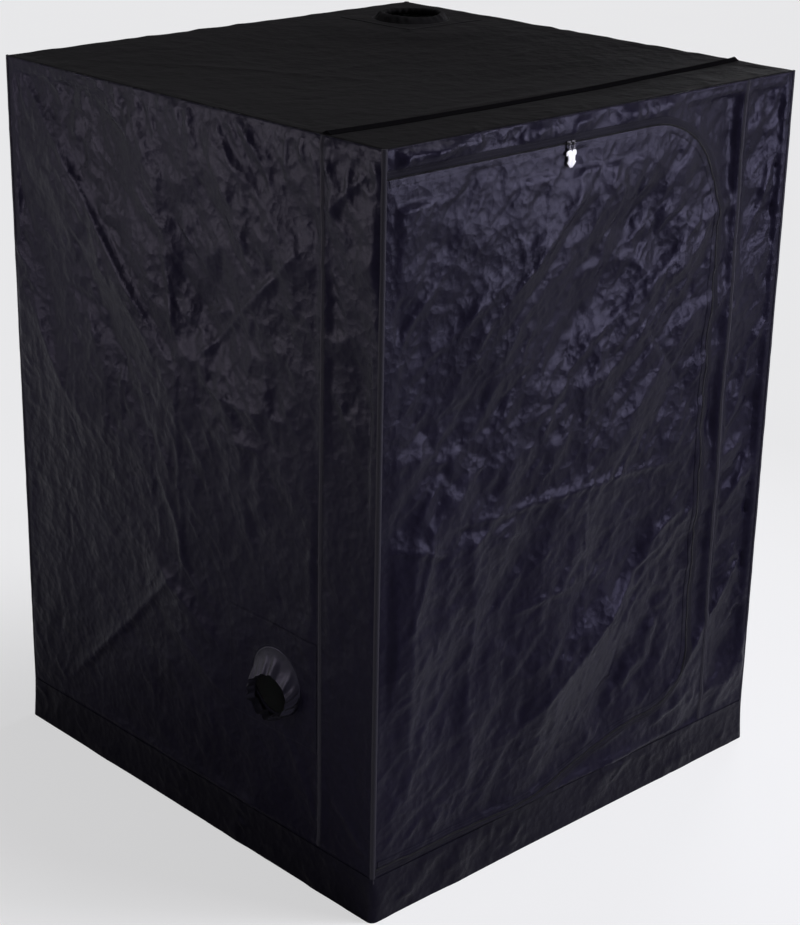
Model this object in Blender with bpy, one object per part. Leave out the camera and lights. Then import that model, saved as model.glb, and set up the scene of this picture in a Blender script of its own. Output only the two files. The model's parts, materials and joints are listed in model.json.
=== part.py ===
"""Indoor grow tent: a steel pole frame inside a sewn cloth cover with a zipped D-shaped door.

Metres, +Z up. The origin is the middle of the underside of the floor cloth, and the door faces -Y.
A point of a wall is given as (along, up, out): along from the left, or on the side walls from the
front, up from the floor, and out from the outer face of the cloth.
"""
import math

import bmesh
import bpy
from mathutils import Vector
from mathutils.geometry import delaunay_2d_cdt

# Cover
WIDTH = 1.500
DEPTH = 1.500
HEIGHT = 2.000
CLOTH = 0.0015
CLEARANCE = 0.0003

# Places of the seams, from the corner that they run beside
LEFT_SEAM_FROM_FRONT = 0.205
FRONT_SEAM_FROM_RIGHT = 0.200
ROOF_SEAM_FROM_FRONT = 0.200

# Base band and corner binding
BAND_HEIGHT = 0.125
BAND_THICKNESS = 0.0020
BAND_FLARE = 0.006
BINDING_LEG = 0.008
BINDING_THICKNESS = 0.0010

# Pole frame
TUBE_RADIUS = 0.011
TUBE_WALL = 0.0010
CONNECTOR_SIZE = 0.030
SPIGOT_LENGTH = 0.045
SPIGOT_FIT = 0.0003
UPRIGHT_JOINT_HEIGHT = 1.000
UPRIGHT_JOINT_LENGTH = 0.060

# Roof bars and their hooks
BAR_FROM_MIDDLE = 0.250
BAR_DROP = 0.030
HOOK_WIDTH = 0.030
HOOK_THICKNESS = 0.0020
HOOK_FIT = 0.0004
HOOK_SPIGOT_LENGTH = 0.035

# Door zip: places of its centre line
ZIP_FROM_LEFT = 0.010
ZIP_FROM_RIGHT = 0.280
ZIP_FROM_TOP = 0.070
ZIP_SILL = 0.150
ZIP_TOP_RADIUS = 0.300
ZIP_LOW_RADIUS = 0.200
ZIP_LOW_CORNER_HEIGHT = 0.240
ZIP_SLOPE_LENGTH = 0.480
ZIP_HALF_GAP = 0.0004
TAPE_WIDTH = 0.020
TAPE_THICKNESS = 0.0010
HINGE_GAP = 0.0015

# Zip sliders and pulls
SLIDER_PLACE_SHARE = 0.662
SLIDER_LENGTH = 0.014
SLIDER_WIDTH = 0.011
SLIDER_THICKNESS = 0.0035
SLIDER_NOSE_SHARE = 0.66
SLIDER_SPACING = 0.0150
CROWN_BAR = 0.0018
CROWN_LENGTH = 0.0115
CROWN_RISE = 0.0034
PULL_LOOP_BORE = 0.0016
PULL_LOOP_WALL = 0.0012
PULL_LOOP_WIDTH = 0.0050
PULL_LENGTH = 0.060
PULL_WIDTH = 0.0125
PULL_THICKNESS = 0.0018
PULL_NECK_WIDTH = 0.0050
PULL_NECK_LENGTH = 0.008
PULL_BARB = 0.0035
PULL_POINT_LENGTH = 0.016

# Wall port
PORT_FROM_FRONT = 0.372
PORT_HEIGHT = 0.545
PORT_RADIUS = 0.093
PORT_FLANGE = 0.012
PORT_CUFF_REACH = 0.050
PORT_CUFF_DROP = 0.032
PORT_MOUTH_HALF_WIDTH = 0.074
PORT_MOUTH_HALF_HEIGHT = 0.052
PORT_TOP_REACH_SHARE = 0.45
PATCH_THICKNESS = 0.0010
PATCH_SEAM_MARGIN = 0.010
PATCH_BACK = 0.186
PATCH_DOWN = 0.150
PATCH_UP = 0.160

# Roof port
ROOF_PORT_FROM_RIGHT = 0.220
ROOF_PORT_FROM_BACK = 0.250
ROOF_PORT_RADIUS = 0.110
ROOF_PATCH_HALF = 0.150
ROOF_CUFF_REACH = 0.024
ROOF_MOUTH_RADIUS = 0.088
ROOF_PLATEAU = 0.200
CUFF_THICKNESS = 0.0012
CUFF_GATHER = 0.004

# Relief of the cloth
ROOF_SAG = 0.022
FOLD_HALF_WIDTH = 0.045
FOLD_RISE = 0.009
FOLD_TAPER_SHARE = 0.2
EDGE_FADE = 0.050
EDGE_FLAT = 0.022
PANEL_STEP = 0.160
FOLD_STEP = 0.110
GUIDE_MARGIN = 0.018

# Folds, as shares of a face's breadth and height, then their share of the fold's rise
LEFT_FOLD_SHARES = [
    ([(0.930, 0.975), (0.833, 0.908), (0.691, 0.788), (0.579, 0.706), (0.489, 0.655), (0.423, 0.626)], 1.0),
    ([(0.160, 0.885), (0.261, 0.822), (0.414, 0.710), (0.483, 0.657)], 0.8),
    ([(0.507, 0.700), (0.500, 0.580), (0.565, 0.486), (0.509, 0.427), (0.499, 0.364), (0.380, 0.300)], 0.7),
    ([(0.895, 0.085), (0.729, 0.200), (0.597, 0.300), (0.496, 0.362)], 0.9),
    ([(0.780, 0.950), (0.620, 0.870), (0.560, 0.780)], 0.6),
]
LEFT_STRIP_FOLD_SHARES = [
    ([(0.126, 0.170), (0.075, 0.135), (0.020, 0.092)], 0.9),
]
DOOR_FOLD_SHARES = [
    ([(0.030, 0.490), (0.234, 0.482), (0.426, 0.482), (0.631, 0.476), (0.780, 0.477)], 0.8),
    ([(0.485, 0.894), (0.407, 0.843), (0.327, 0.784), (0.261, 0.742)], -1.0),
    ([(0.389, 0.900), (0.256, 0.807), (0.147, 0.759), (0.041, 0.713)], 0.8),
    ([(0.726, 0.796), (0.601, 0.745), (0.504, 0.705), (0.410, 0.652), (0.343, 0.596)], 0.9),
    ([(0.637, 0.701), (0.690, 0.655), (0.745, 0.604)], -0.7),
    ([(0.774, 0.417), (0.647, 0.340), (0.523, 0.265), (0.404, 0.177)], 0.9),
    ([(0.334, 0.420), (0.222, 0.334), (0.134, 0.272), (0.070, 0.206)], 0.7),
]
RIGHT_STRIP_FOLD_SHARES = [
    ([(0.987, 0.919), (0.942, 0.839), (0.900, 0.773)], 0.8),
    ([(0.985, 0.674), (0.944, 0.622), (0.890, 0.601)], 0.7),
    ([(0.975, 0.360), (0.943, 0.323), (0.894, 0.257), (0.880, 0.230)], 0.9),
]

# Counts
TUBE_SIDES = 16
LOOP_SIDES = 12
HOOK_STEPS = 8
ARC_STEPS = 10
SLOPE_STEPS = 6
HOLE_SIDES = 24
CUFF_STEPS = 4
CUFF_GATHERS = 8
SHARP_ANGLE_DEGREES = 35

# Worked out from the sizes above
INNER_HALF_WIDTH = WIDTH / 2 - CLOTH
INNER_HALF_DEPTH = DEPTH / 2 - CLOTH
WALL_FOOT = CLOTH + CLEARANCE
WALL_TOP = HEIGHT - CLOTH - CLEARANCE
CORNER_X = INNER_HALF_WIDTH - CLEARANCE - CONNECTOR_SIZE / 2
CORNER_Y = INNER_HALF_DEPTH - CLEARANCE - CONNECTOR_SIZE / 2
LOW_Z = WALL_FOOT + CONNECTOR_SIZE / 2
HIGH_Z = WALL_TOP - CONNECTOR_SIZE / 2
TUBE_BORE = TUBE_RADIUS - TUBE_WALL
TUBE_INSET = CONNECTOR_SIZE / 2 + CLEARANCE
FRONT_SEAM = WIDTH - FRONT_SEAM_FROM_RIGHT
ZIP_TOP = HEIGHT - ZIP_FROM_TOP
ZIP_RIGHT = WIDTH - ZIP_FROM_RIGHT
TAPE_FRONT = CLEARANCE + TAPE_THICKNESS
PIVOT_X = -WIDTH / 2 + ZIP_FROM_LEFT + HINGE_GAP / 2
PIVOT_Y = -DEPTH / 2 - TAPE_FRONT - CLEARANCE / 2
ROOF_PORT_ALONG = WIDTH - ROOF_PORT_FROM_RIGHT
ROOF_PORT_BACK = DEPTH - ROOF_PORT_FROM_BACK


def clear_scene():
    for thing in list(bpy.data.objects):
        bpy.data.objects.remove(thing, do_unlink=True)


def make_material(name, colour, roughness, metallic):
    material = bpy.data.materials.new(name)
    material.use_nodes = True
    shader = material.node_tree.nodes["Principled BSDF"]
    shader.inputs["Base Color"].default_value = (*colour, 1)
    shader.inputs["Roughness"].default_value = roughness
    shader.inputs["Metallic"].default_value = metallic
    return material


def cover_cloth(name):
    return make_material(name + "_cloth", (0.022, 0.021, 0.030), 0.55, 0.0)


def base_cloth(name):
    return make_material(name + "_cloth", (0.018, 0.017, 0.024), 0.50, 0.0)


def tape_cloth(name):
    return make_material(name + "_weave", (0.014, 0.013, 0.017), 0.80, 0.0)


def painted_steel(name):
    return make_material(name + "_paint", (0.80, 0.81, 0.82), 0.40, 0.0)


def black_plastic(name):
    return make_material(name + "_plastic", (0.030, 0.030, 0.032), 0.45, 0.0)


def slider_metal(name):
    return make_material(name + "_metal", (0.060, 0.058, 0.065), 0.40, 1.0)


def white_plastic(name):
    return make_material(name + "_plastic", (0.74, 0.73, 0.78), 0.45, 0.0)


def add_node(name, mesh, material, origin=(0, 0, 0), parent=None, smooth=False):
    """Makes a node from a mesh in world places, with its own origin, and hangs it on its parent."""
    origin = Vector(origin)
    for vertex in mesh.vertices:
        vertex.co -= origin
    mesh.name = name
    mesh.materials.clear()
    mesh.materials.append(material)
    node = bpy.data.objects.new(name, mesh)
    bpy.context.collection.objects.link(node)
    if smooth:
        mesh.shade_smooth()
        mesh.set_sharp_from_angle(angle=math.radians(SHARP_ANGLE_DEGREES))
    node.location = origin
    if parent is not None:
        node.parent = parent
        node.location = origin - parent.location
    return node


def add_pivot(name, place):
    pivot = bpy.data.objects.new(name, None)
    bpy.context.collection.objects.link(pivot)
    pivot.location = place
    return pivot


def mesh_from(points, faces):
    """One closed mesh with its faces turned outwards."""
    shape = bmesh.new()
    vertices = [shape.verts.new(point) for point in points]
    for face in faces:
        shape.faces.new([vertices[index] for index in face])
    bmesh.ops.recalc_face_normals(shape, faces=shape.faces)
    mesh = bpy.data.meshes.new("shape")
    shape.to_mesh(mesh)
    shape.free()
    return mesh


def fuse(base, *others):
    """Boolean union of meshes that overlap, as one new mesh."""
    body = bpy.data.objects.new("fuse_body", base)
    bpy.context.collection.objects.link(body)
    helpers = []
    for mesh in others:
        helper = bpy.data.objects.new("fuse_helper", mesh)
        bpy.context.collection.objects.link(helper)
        helpers.append(helper)
        union = body.modifiers.new("union", "BOOLEAN")
        union.operation = "UNION"
        union.object = helper
    graph = bpy.context.evaluated_depsgraph_get()
    result = bpy.data.meshes.new_from_object(body.evaluated_get(graph))
    for helper in [*helpers, body]:
        bpy.data.objects.remove(helper, do_unlink=True)
    return result


def extruded(outline, along):
    """A closed outline of points pushed along a vector."""
    count = len(outline)
    along = Vector(along)
    near = [Vector(point) for point in outline]
    far = [point + along for point in near]
    faces = [list(range(count)), list(range(2 * count - 1, count - 1, -1))]
    for index in range(count):
        after = (index + 1) % count
        faces.append([index, count + index, count + after, after])
    return mesh_from(near + far, faces)


def box(low, high):
    (x0, y0, z0), (x1, y1, z1) = low, high
    return extruded([(x0, y0, z0), (x1, y0, z0), (x1, y1, z0), (x0, y1, z0)], (0, 0, z1 - z0))


def turned(profile, start, direction, sides):
    """Turns a closed profile of (radius, distance) about a line."""
    start = Vector(start)
    direction = Vector(direction).normalized()
    across = direction.orthogonal().normalized()
    other = direction.cross(across)
    points = []
    for side in range(sides):
        angle = math.tau * side / sides
        spoke = across * math.cos(angle) + other * math.sin(angle)
        points += [start + spoke * radius + direction * distance for radius, distance in profile]
    count = len(profile)
    faces = []
    for side in range(sides):
        first = side * count
        second = (side + 1) % sides * count
        for index in range(count):
            after = (index + 1) % count
            faces.append([first + index, first + after, second + after, second + index])
    return mesh_from(points, faces)


def rod(start, direction, length, radius, sides):
    """A solid round rod."""
    start = Vector(start)
    direction = Vector(direction).normalized()
    across = direction.orthogonal().normalized()
    other = direction.cross(across)
    ring = []
    for side in range(sides):
        angle = math.tau * side / sides
        ring.append(start + (across * math.cos(angle) + other * math.sin(angle)) * radius)
    return extruded(ring, direction * length)


def tube(start, end):
    """An open tube between two places."""
    start = Vector(start)
    run = Vector(end) - start
    profile = [(TUBE_BORE, 0), (TUBE_RADIUS, 0), (TUBE_RADIUS, run.length), (TUBE_BORE, run.length)]
    return turned(profile, start, run, TUBE_SIDES)


def tube_with_joint_end(start, end):
    """An open tube whose start is drawn in, so that it pushes into the tube below."""
    start = Vector(start)
    run = Vector(end) - start
    neck = TUBE_BORE - SPIGOT_FIT
    neck_bore = neck - TUBE_WALL
    profile = [
        (neck_bore, -UPRIGHT_JOINT_LENGTH),
        (neck, -UPRIGHT_JOINT_LENGTH),
        (neck, 0),
        (TUBE_RADIUS, 0),
        (TUBE_RADIUS, run.length),
        (TUBE_BORE, run.length),
        (TUBE_BORE, TUBE_WALL),
        (neck_bore, 0),
    ]
    return turned(profile, start, run, TUBE_SIDES)


def on_front(along, up, out):
    return Vector((-WIDTH / 2 + along, -DEPTH / 2 - out, up))


def on_back(along, up, out):
    return Vector((-WIDTH / 2 + along, DEPTH / 2 + out, up))


def on_left(along, up, out):
    return Vector((-WIDTH / 2 - out, -DEPTH / 2 + along, up))


def on_right(along, up, out):
    return Vector((WIDTH / 2 + out, -DEPTH / 2 + along, up))


def on_roof(along, back, out):
    return Vector((-WIDTH / 2 + along, -DEPTH / 2 + back, HEIGHT + out))


def on_floor(along, back, out):
    return Vector((-WIDTH / 2 + along, -DEPTH / 2 + back, -out))


def nearest_on_line(point, line):
    """Distance from a point to a broken line, and how far along the line that is, from 0 to 1."""
    best = math.inf
    reached = 0
    walked = 0
    for first, second in zip(line, line[1:]):
        run = second - first
        share = max(0, min(1, (point - first).dot(run) / run.length_squared))
        distance = (first + run * share - point).length
        if distance < best:
            best = distance
            reached = walked + run.length * share
        walked += run.length
    return best, reached / walked


def smooth_step(value):
    value = max(0, min(1, value))
    return value * value * (3 - 2 * value)


def fold_lines(shares, breadth, height):
    """Folds in metres, each with its rise."""
    folds = []
    for line, rise_share in shares:
        folds.append(([Vector((breadth * x, height * z)) for x, z in line], FOLD_RISE * rise_share))
    return folds


def fold_relief(folds, field, islands=()):
    """Relief of a panel: its folds, fading out towards the edge of their field and its flat islands."""
    def relief(point):
        if not inside(point, field) or any(inside(point, island) for island in islands):
            return 0
        total = 0
        for line, rise in folds:
            distance, share = nearest_on_line(point, line)
            taper = min(1, share / FOLD_TAPER_SHARE, (1 - share) / FOLD_TAPER_SHARE)
            total += rise * max(0, 1 - distance / FOLD_HALF_WIDTH) * taper
        limit = min(nearest_on_line(point, closed(loop))[0] for loop in (field, *islands))
        return total * smooth_step(limit / EDGE_FADE)
    return relief


def flat_relief(point):
    return 0


def roof_relief(point):
    """The roof cloth hangs a little between its rails, but for a flat place round the port."""
    along = max(0, min(1, point.x / WIDTH))
    back = max(0, min(1, point.y / DEPTH))
    sag = ROOF_SAG * math.sin(math.pi * along) * math.sin(math.pi * back)
    centre = Vector((ROOF_PORT_ALONG, ROOF_PORT_BACK))
    beyond = (point - centre).length - ROOF_PLATEAU
    return -sag * smooth_step(beyond / ROOF_PLATEAU)


def resampled(line, step):
    """The same broken line with a point at least every step."""
    points = []
    for first, second in zip(line, line[1:]):
        count = max(1, math.ceil((second - first).length / step))
        points += [first.lerp(second, index / count) for index in range(count)]
    points.append(line[-1])
    return points


def shifted(line, distance):
    """A broken line moved sideways, to its left where the distance is above zero."""
    moved = []
    for index, point in enumerate(line):
        before = line[max(0, index - 1)]
        after = line[min(len(line) - 1, index + 1)]
        run = (after - before).normalized()
        moved.append(point + Vector((-run.y, run.x)) * distance)
    return moved


def closed(loop):
    return [*loop, loop[0]]


def inside(point, loop):
    """Whether a point lies inside a closed loop."""
    result = False
    for first, second in zip(loop, closed(loop)[1:]):
        if (first.y > point.y) != (second.y > point.y):
            crossing = first.x + (point.y - first.y) * (second.x - first.x) / (second.y - first.y)
            if point.x < crossing:
                result = not result
    return result


def circle(centre, radius, sides):
    loop = []
    for side in range(sides):
        angle = math.tau * side / sides
        loop.append(centre + Vector((math.cos(angle), math.sin(angle))) * radius)
    return loop


def rectangle(left, low, right, high):
    return [Vector((left, low)), Vector((right, low)), Vector((right, high)), Vector((left, high))]


def inset_rectangle(outline, margin):
    """A rectangle moved in on all sides."""
    low = outline[0]
    high = outline[2]
    return rectangle(low.x + margin, low.y + margin, high.x - margin, high.y - margin)


def panel(place, outline, holes=(), folds=(), rests=(), relief=flat_relief, thickness=CLOTH, lift=0):
    """A sheet of cloth of even thickness: an outline with holes, creased along its folds.

    The rests are loops along which the cloth lies flat again.
    """
    loops = [resampled(closed(outline), PANEL_STEP)[:-1]]
    loops += [list(hole) for hole in holes]
    points = []
    edges = []
    for loop in loops:
        first = len(points)
        points += loop
        edges += [(first + index, first + (index + 1) % len(loop)) for index in range(len(loop))]

    borders = [closed(loop) for loop in loops]

    def is_free(point):
        if not inside(point, loops[0]):
            return False
        if any(inside(point, hole) for hole in loops[1:]):
            return False
        return min(nearest_on_line(point, border)[0] for border in borders) > GUIDE_MARGIN

    guides = [resampled(closed(loop), PANEL_STEP) for loop in rests]
    for line, _ in folds:
        ridge = resampled(line, FOLD_STEP)
        guides += [ridge, shifted(ridge, FOLD_HALF_WIDTH), shifted(ridge, -FOLD_HALF_WIDTH)]
    for guide in guides:
        previous = None
        for point in guide:
            if is_free(point):
                points.append(point)
                if previous is not None:
                    edges.append((previous, len(points) - 1))
                previous = len(points) - 1
            else:
                previous = None

    wide = max(point.x for point in outline)
    high = max(point.y for point in outline)
    columns = math.ceil(wide / PANEL_STEP)
    rows = math.ceil(high / PANEL_STEP)
    for column in range(columns):
        for row in range(rows):
            spot = Vector(((column + 0.5) * wide / columns, (row + 0.5) * high / rows))
            near_guide = any(nearest_on_line(spot, guide)[0] < GUIDE_MARGIN for guide in guides)
            if is_free(spot) and not near_guide:
                points.append(spot)

    flat, _, triangles, *_ = delaunay_2d_cdt(points, edges, [], 0, CLEARANCE / 3)
    kept = []
    for triangle in triangles:
        middle = (flat[triangle[0]] + flat[triangle[1]] + flat[triangle[2]]) / 3
        if inside(middle, loops[0]) and not any(inside(middle, hole) for hole in loops[1:]):
            kept.append(triangle)
    used = sorted({index for triangle in kept for index in triangle})
    order = {index: rank for rank, index in enumerate(used)}
    outer = []
    inner = []
    for index in used:
        point = flat[index]
        out = relief(point) + lift
        outer.append(place(point.x, point.y, out))
        inner.append(place(point.x, point.y, out - thickness))
    count = len(used)
    faces = []
    sides = {}
    for triangle in kept:
        a, b, c = (order[index] for index in triangle)
        faces.append([a, b, c])
        faces.append([count + c, count + b, count + a])
        for edge in ((a, b), (b, c), (c, a)):
            if (edge[1], edge[0]) in sides:
                del sides[(edge[1], edge[0])]
            else:
                sides[edge] = True
    faces += [[second, first, count + first, count + second] for first, second in sides]
    return mesh_from(outer + inner, faces)


def shell_from_rings(rings, thickness):
    """A sleeve of even thickness whose middle surface passes through closed rings of points."""
    last = len(rings) - 1
    count = len(rings[0])
    outer = []
    inner = []
    for row, ring in enumerate(rings):
        for index, point in enumerate(ring):
            lengthways = rings[min(last, row + 1)][index] - rings[max(0, row - 1)][index]
            around = ring[(index + 1) % count] - ring[index - 1]
            normal = around.cross(lengthways).normalized()
            outer.append(point + normal * thickness / 2)
            inner.append(point - normal * thickness / 2)
    faces = []
    shift = len(outer)
    for row in range(last):
        for index in range(count):
            after = (index + 1) % count
            a, b = row * count + index, row * count + after
            c, d = b + count, a + count
            faces.append([a, b, c, d])
            faces.append([shift + d, shift + c, shift + b, shift + a])
    for index in range(count):
        after = (index + 1) % count
        faces.append([after, index, shift + index, shift + after])
        top, top_after = last * count + index, last * count + after
        faces.append([top, top_after, shift + top_after, shift + top])
    return mesh_from(outer + inner, faces)


def zip_line():
    """Centre line of the zip, from the top left round to the bottom left."""
    top_centre = Vector((ZIP_RIGHT - ZIP_TOP_RADIUS, ZIP_TOP - ZIP_TOP_RADIUS))
    low_centre = Vector((ZIP_RIGHT - ZIP_LOW_RADIUS, ZIP_LOW_CORNER_HEIGHT + ZIP_LOW_RADIUS))
    line = resampled([Vector((ZIP_FROM_LEFT, ZIP_TOP)), Vector((top_centre.x, ZIP_TOP))], PANEL_STEP)
    for step in range(1, ARC_STEPS + 1):
        angle = math.pi / 2 * (1 - step / ARC_STEPS)
        line.append(top_centre + Vector((math.cos(angle), math.sin(angle))) * ZIP_TOP_RADIUS)
    side = resampled([line[-1], Vector((ZIP_RIGHT, low_centre.y))], PANEL_STEP)
    line += side[1:]
    for step in range(1, ARC_STEPS + 1):
        angle = -math.pi / 2 * step / ARC_STEPS
        line.append(low_centre + Vector((math.cos(angle), math.sin(angle))) * ZIP_LOW_RADIUS)
    for step in range(1, SLOPE_STEPS + 1):
        share = step / SLOPE_STEPS
        fall = (ZIP_LOW_CORNER_HEIGHT - ZIP_SILL) * smooth_step(share)
        line.append(Vector((low_centre.x - ZIP_SLOPE_LENGTH * share, ZIP_LOW_CORNER_HEIGHT - fall)))
    sill = resampled([line[-1], Vector((ZIP_FROM_LEFT, ZIP_SILL))], PANEL_STEP)
    return line + sill[1:]


def zip_line_moved(distance, left):
    """The zip's line moved out from the door, with its two ends at a given place from the left."""
    line = shifted(zip_line(), distance)
    line[0].x = left
    line[-1].x = left
    return line


def ribbon(place, edge, other_edge, low, high):
    """A flat ribbon between two lines of paired points, from low to high above the cloth."""
    count = len(edge)
    points = []
    for line in (edge, other_edge):
        for out in (low, high):
            points += [place(point.x, point.y, out) for point in line]
    order = [0, count, 3 * count, 2 * count]
    faces = [order, [corner + count - 1 for corner in reversed(order)]]
    for index in range(count - 1):
        for first, second in zip(order, order[1:] + order[:1]):
            faces.append([first + index, second + index, second + index + 1, first + index + 1])
    return mesh_from(points, faces)


def port_rings(centre, flange, radii, reaches, drops, place, lift, gather):
    """Rings of a cuff: a flat flange on its patch, then a sleeve that leads out to its mouth."""
    rings = []
    for row in range(-1, CUFF_STEPS + 1):
        share = max(0, row) / CUFF_STEPS
        ring = []
        for side in range(HOLE_SIDES):
            angle = math.tau * side / HOLE_SIDES
            lean = math.sin(angle)
            wave = gather * share * math.cos(CUFF_GATHERS * angle)
            wide = radii[0] + (radii[1] - radii[0]) * smooth_step(share) + wave
            tall = radii[0] + (radii[2] - radii[0]) * smooth_step(share) + wave
            if row < 0:
                wide += flange
                tall += flange
            reach = reaches[0] + (reaches[1] - reaches[0]) * (1 + lean) / 2
            ring.append(place(
                centre.x + wide * math.cos(angle),
                centre.y + tall * lean - drops * share * share,
                lift + reach * share,
            ))
        rings.append(ring)
    return rings


def make_connectors():
    """Three-way corners: a block with a spigot into each of its three tubes."""
    half = CONNECTOR_SIZE / 2
    for level, z, up in (("bottom", LOW_Z, 1), ("top", HIGH_Z, -1)):
        for depth_name, y, inwards_y in (("front", -CORNER_Y, 1), ("back", CORNER_Y, -1)):
            for side_name, x, inwards_x in (("left", -CORNER_X, 1), ("right", CORNER_X, -1)):
                centre = Vector((x, y, z))
                block = box(centre - Vector((half, half, half)), centre + Vector((half, half, half)))
                spigots = []
                for direction in ((inwards_x, 0, 0), (0, inwards_y, 0), (0, 0, up)):
                    radius = TUBE_BORE - SPIGOT_FIT
                    spigots.append(rod(centre, direction, half + SPIGOT_LENGTH, radius, TUBE_SIDES))
                name = f"corner_connector_{level}_{depth_name}_{side_name}"
                add_node(name, fuse(block, *spigots), black_plastic(name), origin=centre, smooth=True)


def make_uprights():
    """Each upright is two tubes; the upper one pushes into the lower one."""
    for depth_name, y in (("front", -CORNER_Y), ("back", CORNER_Y)):
        for side_name, x in (("left", -CORNER_X), ("right", CORNER_X)):
            joint = Vector((x, y, UPRIGHT_JOINT_HEIGHT))
            foot = Vector((x, y, LOW_Z + TUBE_INSET))
            head = Vector((x, y, HIGH_Z - TUBE_INSET))
            name = f"upright_lower_{depth_name}_{side_name}"
            add_node(name, tube(foot, joint - Vector((0, 0, CLEARANCE))), painted_steel(name), smooth=True)
            name = f"upright_upper_{depth_name}_{side_name}"
            add_node(name, tube_with_joint_end(joint, head), painted_steel(name), smooth=True)


def make_rails():
    for level, z in (("bottom", LOW_Z), ("top", HIGH_Z)):
        reach_x = CORNER_X - TUBE_INSET
        reach_y = CORNER_Y - TUBE_INSET
        for side, y in (("front", -CORNER_Y), ("back", CORNER_Y)):
            name = f"{level}_rail_{side}"
            add_node(name, tube((-reach_x, y, z), (reach_x, y, z)), painted_steel(name), smooth=True)
        for side, x in (("left", -CORNER_X), ("right", CORNER_X)):
            name = f"{level}_rail_{side}"
            add_node(name, tube((x, -reach_y, z), (x, reach_y, z)), painted_steel(name), smooth=True)


def hook_mesh(side, y):
    """End hook of a roof bar: over the rail, down beside it, and a spigot into the bar."""
    low = TUBE_RADIUS + HOOK_FIT
    high = low + HOOK_THICKNESS
    foot = -BAR_DROP - TUBE_RADIUS
    outline = []
    for step in range(HOOK_STEPS + 1):
        angle = math.pi * (1 - step / HOOK_STEPS)
        outline.append((high * math.cos(angle), high * math.sin(angle)))
    outline += [(high, foot), (low, foot)]
    for step in range(HOOK_STEPS + 1):
        angle = math.pi * step / HOOK_STEPS
        outline.append((low * math.cos(angle), low * math.sin(angle)))
    points = [(side * (CORNER_X - across), y - HOOK_WIDTH / 2, HIGH_Z + up) for across, up in outline]
    hook = extruded(points, (0, HOOK_WIDTH, 0))
    start = (side * (CORNER_X - low - HOOK_THICKNESS / 2), y, HIGH_Z - BAR_DROP)
    spigot = rod(start, (-side, 0, 0), HOOK_SPIGOT_LENGTH, TUBE_BORE - SPIGOT_FIT, TUBE_SIDES)
    return fuse(hook, spigot)


def make_roof_bars():
    reach = CORNER_X - TUBE_RADIUS - HOOK_FIT - HOOK_THICKNESS - CLEARANCE
    for bar_name, y in (("front", -BAR_FROM_MIDDLE), ("back", BAR_FROM_MIDDLE)):
        z = HIGH_Z - BAR_DROP
        pivot = add_pivot(f"roof_bar_{bar_name}_slide", (0, y, z))
        name = f"roof_bar_{bar_name}"
        bar = tube((-reach, y, z), (reach, y, z))
        add_node(name, bar, painted_steel(name), (0, y, z), pivot, smooth=True)
        for side_name, side in (("left", -1), ("right", 1)):
            name = f"roof_bar_{bar_name}_hook_{side_name}"
            origin = (side * CORNER_X, y, z)
            add_node(name, hook_mesh(side, y), black_plastic(name), origin, pivot, smooth=True)


def make_wall_port():
    """Patch and slack cuff of the duct port in the left wall."""
    centre = Vector((PORT_FROM_FRONT, PORT_HEIGHT))
    hole = circle(centre, PORT_RADIUS, HOLE_SIDES)
    front = LEFT_SEAM_FROM_FRONT + PATCH_SEAM_MARGIN
    outline = rectangle(front, centre.y - PATCH_DOWN, centre.x + PATCH_BACK, centre.y + PATCH_UP)
    lift = CLEARANCE + PATCH_THICKNESS
    name = "wall_port_patch"
    mesh = panel(on_left, outline, holes=[hole], thickness=PATCH_THICKNESS, lift=lift)
    add_node(name, mesh, cover_cloth(name))
    name = "wall_port_cuff"
    rings = port_rings(
        centre,
        PORT_FLANGE,
        (PORT_RADIUS, PORT_MOUTH_HALF_WIDTH, PORT_MOUTH_HALF_HEIGHT),
        (PORT_CUFF_REACH, PORT_CUFF_REACH * PORT_TOP_REACH_SHARE),
        PORT_CUFF_DROP,
        on_left,
        lift + CLEARANCE + CUFF_THICKNESS / 2,
        CUFF_GATHER,
    )
    add_node(name, shell_from_rings(rings, CUFF_THICKNESS), cover_cloth(name), smooth=True)
    return hole, outline


def make_roof_port():
    """Patch and low cuff of the duct port in the roof."""
    centre = Vector((ROOF_PORT_ALONG, ROOF_PORT_BACK))
    hole = circle(centre, ROOF_PORT_RADIUS, HOLE_SIDES)
    corner = Vector((ROOF_PATCH_HALF, ROOF_PATCH_HALF))
    low = centre - corner
    high = centre + corner
    lift = CLEARANCE + PATCH_THICKNESS
    name = "roof_port_patch"
    outline = rectangle(low.x, low.y, high.x, high.y)
    mesh = panel(on_roof, outline, holes=[hole], thickness=PATCH_THICKNESS, lift=lift)
    add_node(name, mesh, cover_cloth(name))
    name = "roof_port_cuff"
    rings = port_rings(
        centre,
        PORT_FLANGE,
        (ROOF_PORT_RADIUS, ROOF_MOUTH_RADIUS, ROOF_MOUTH_RADIUS),
        (ROOF_CUFF_REACH, ROOF_CUFF_REACH),
        0,
        on_roof,
        lift + CLEARANCE + CUFF_THICKNESS / 2,
        CUFF_GATHER,
    )
    add_node(name, shell_from_rings(rings, CUFF_THICKNESS), cover_cloth(name), smooth=True)
    return hole


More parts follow.
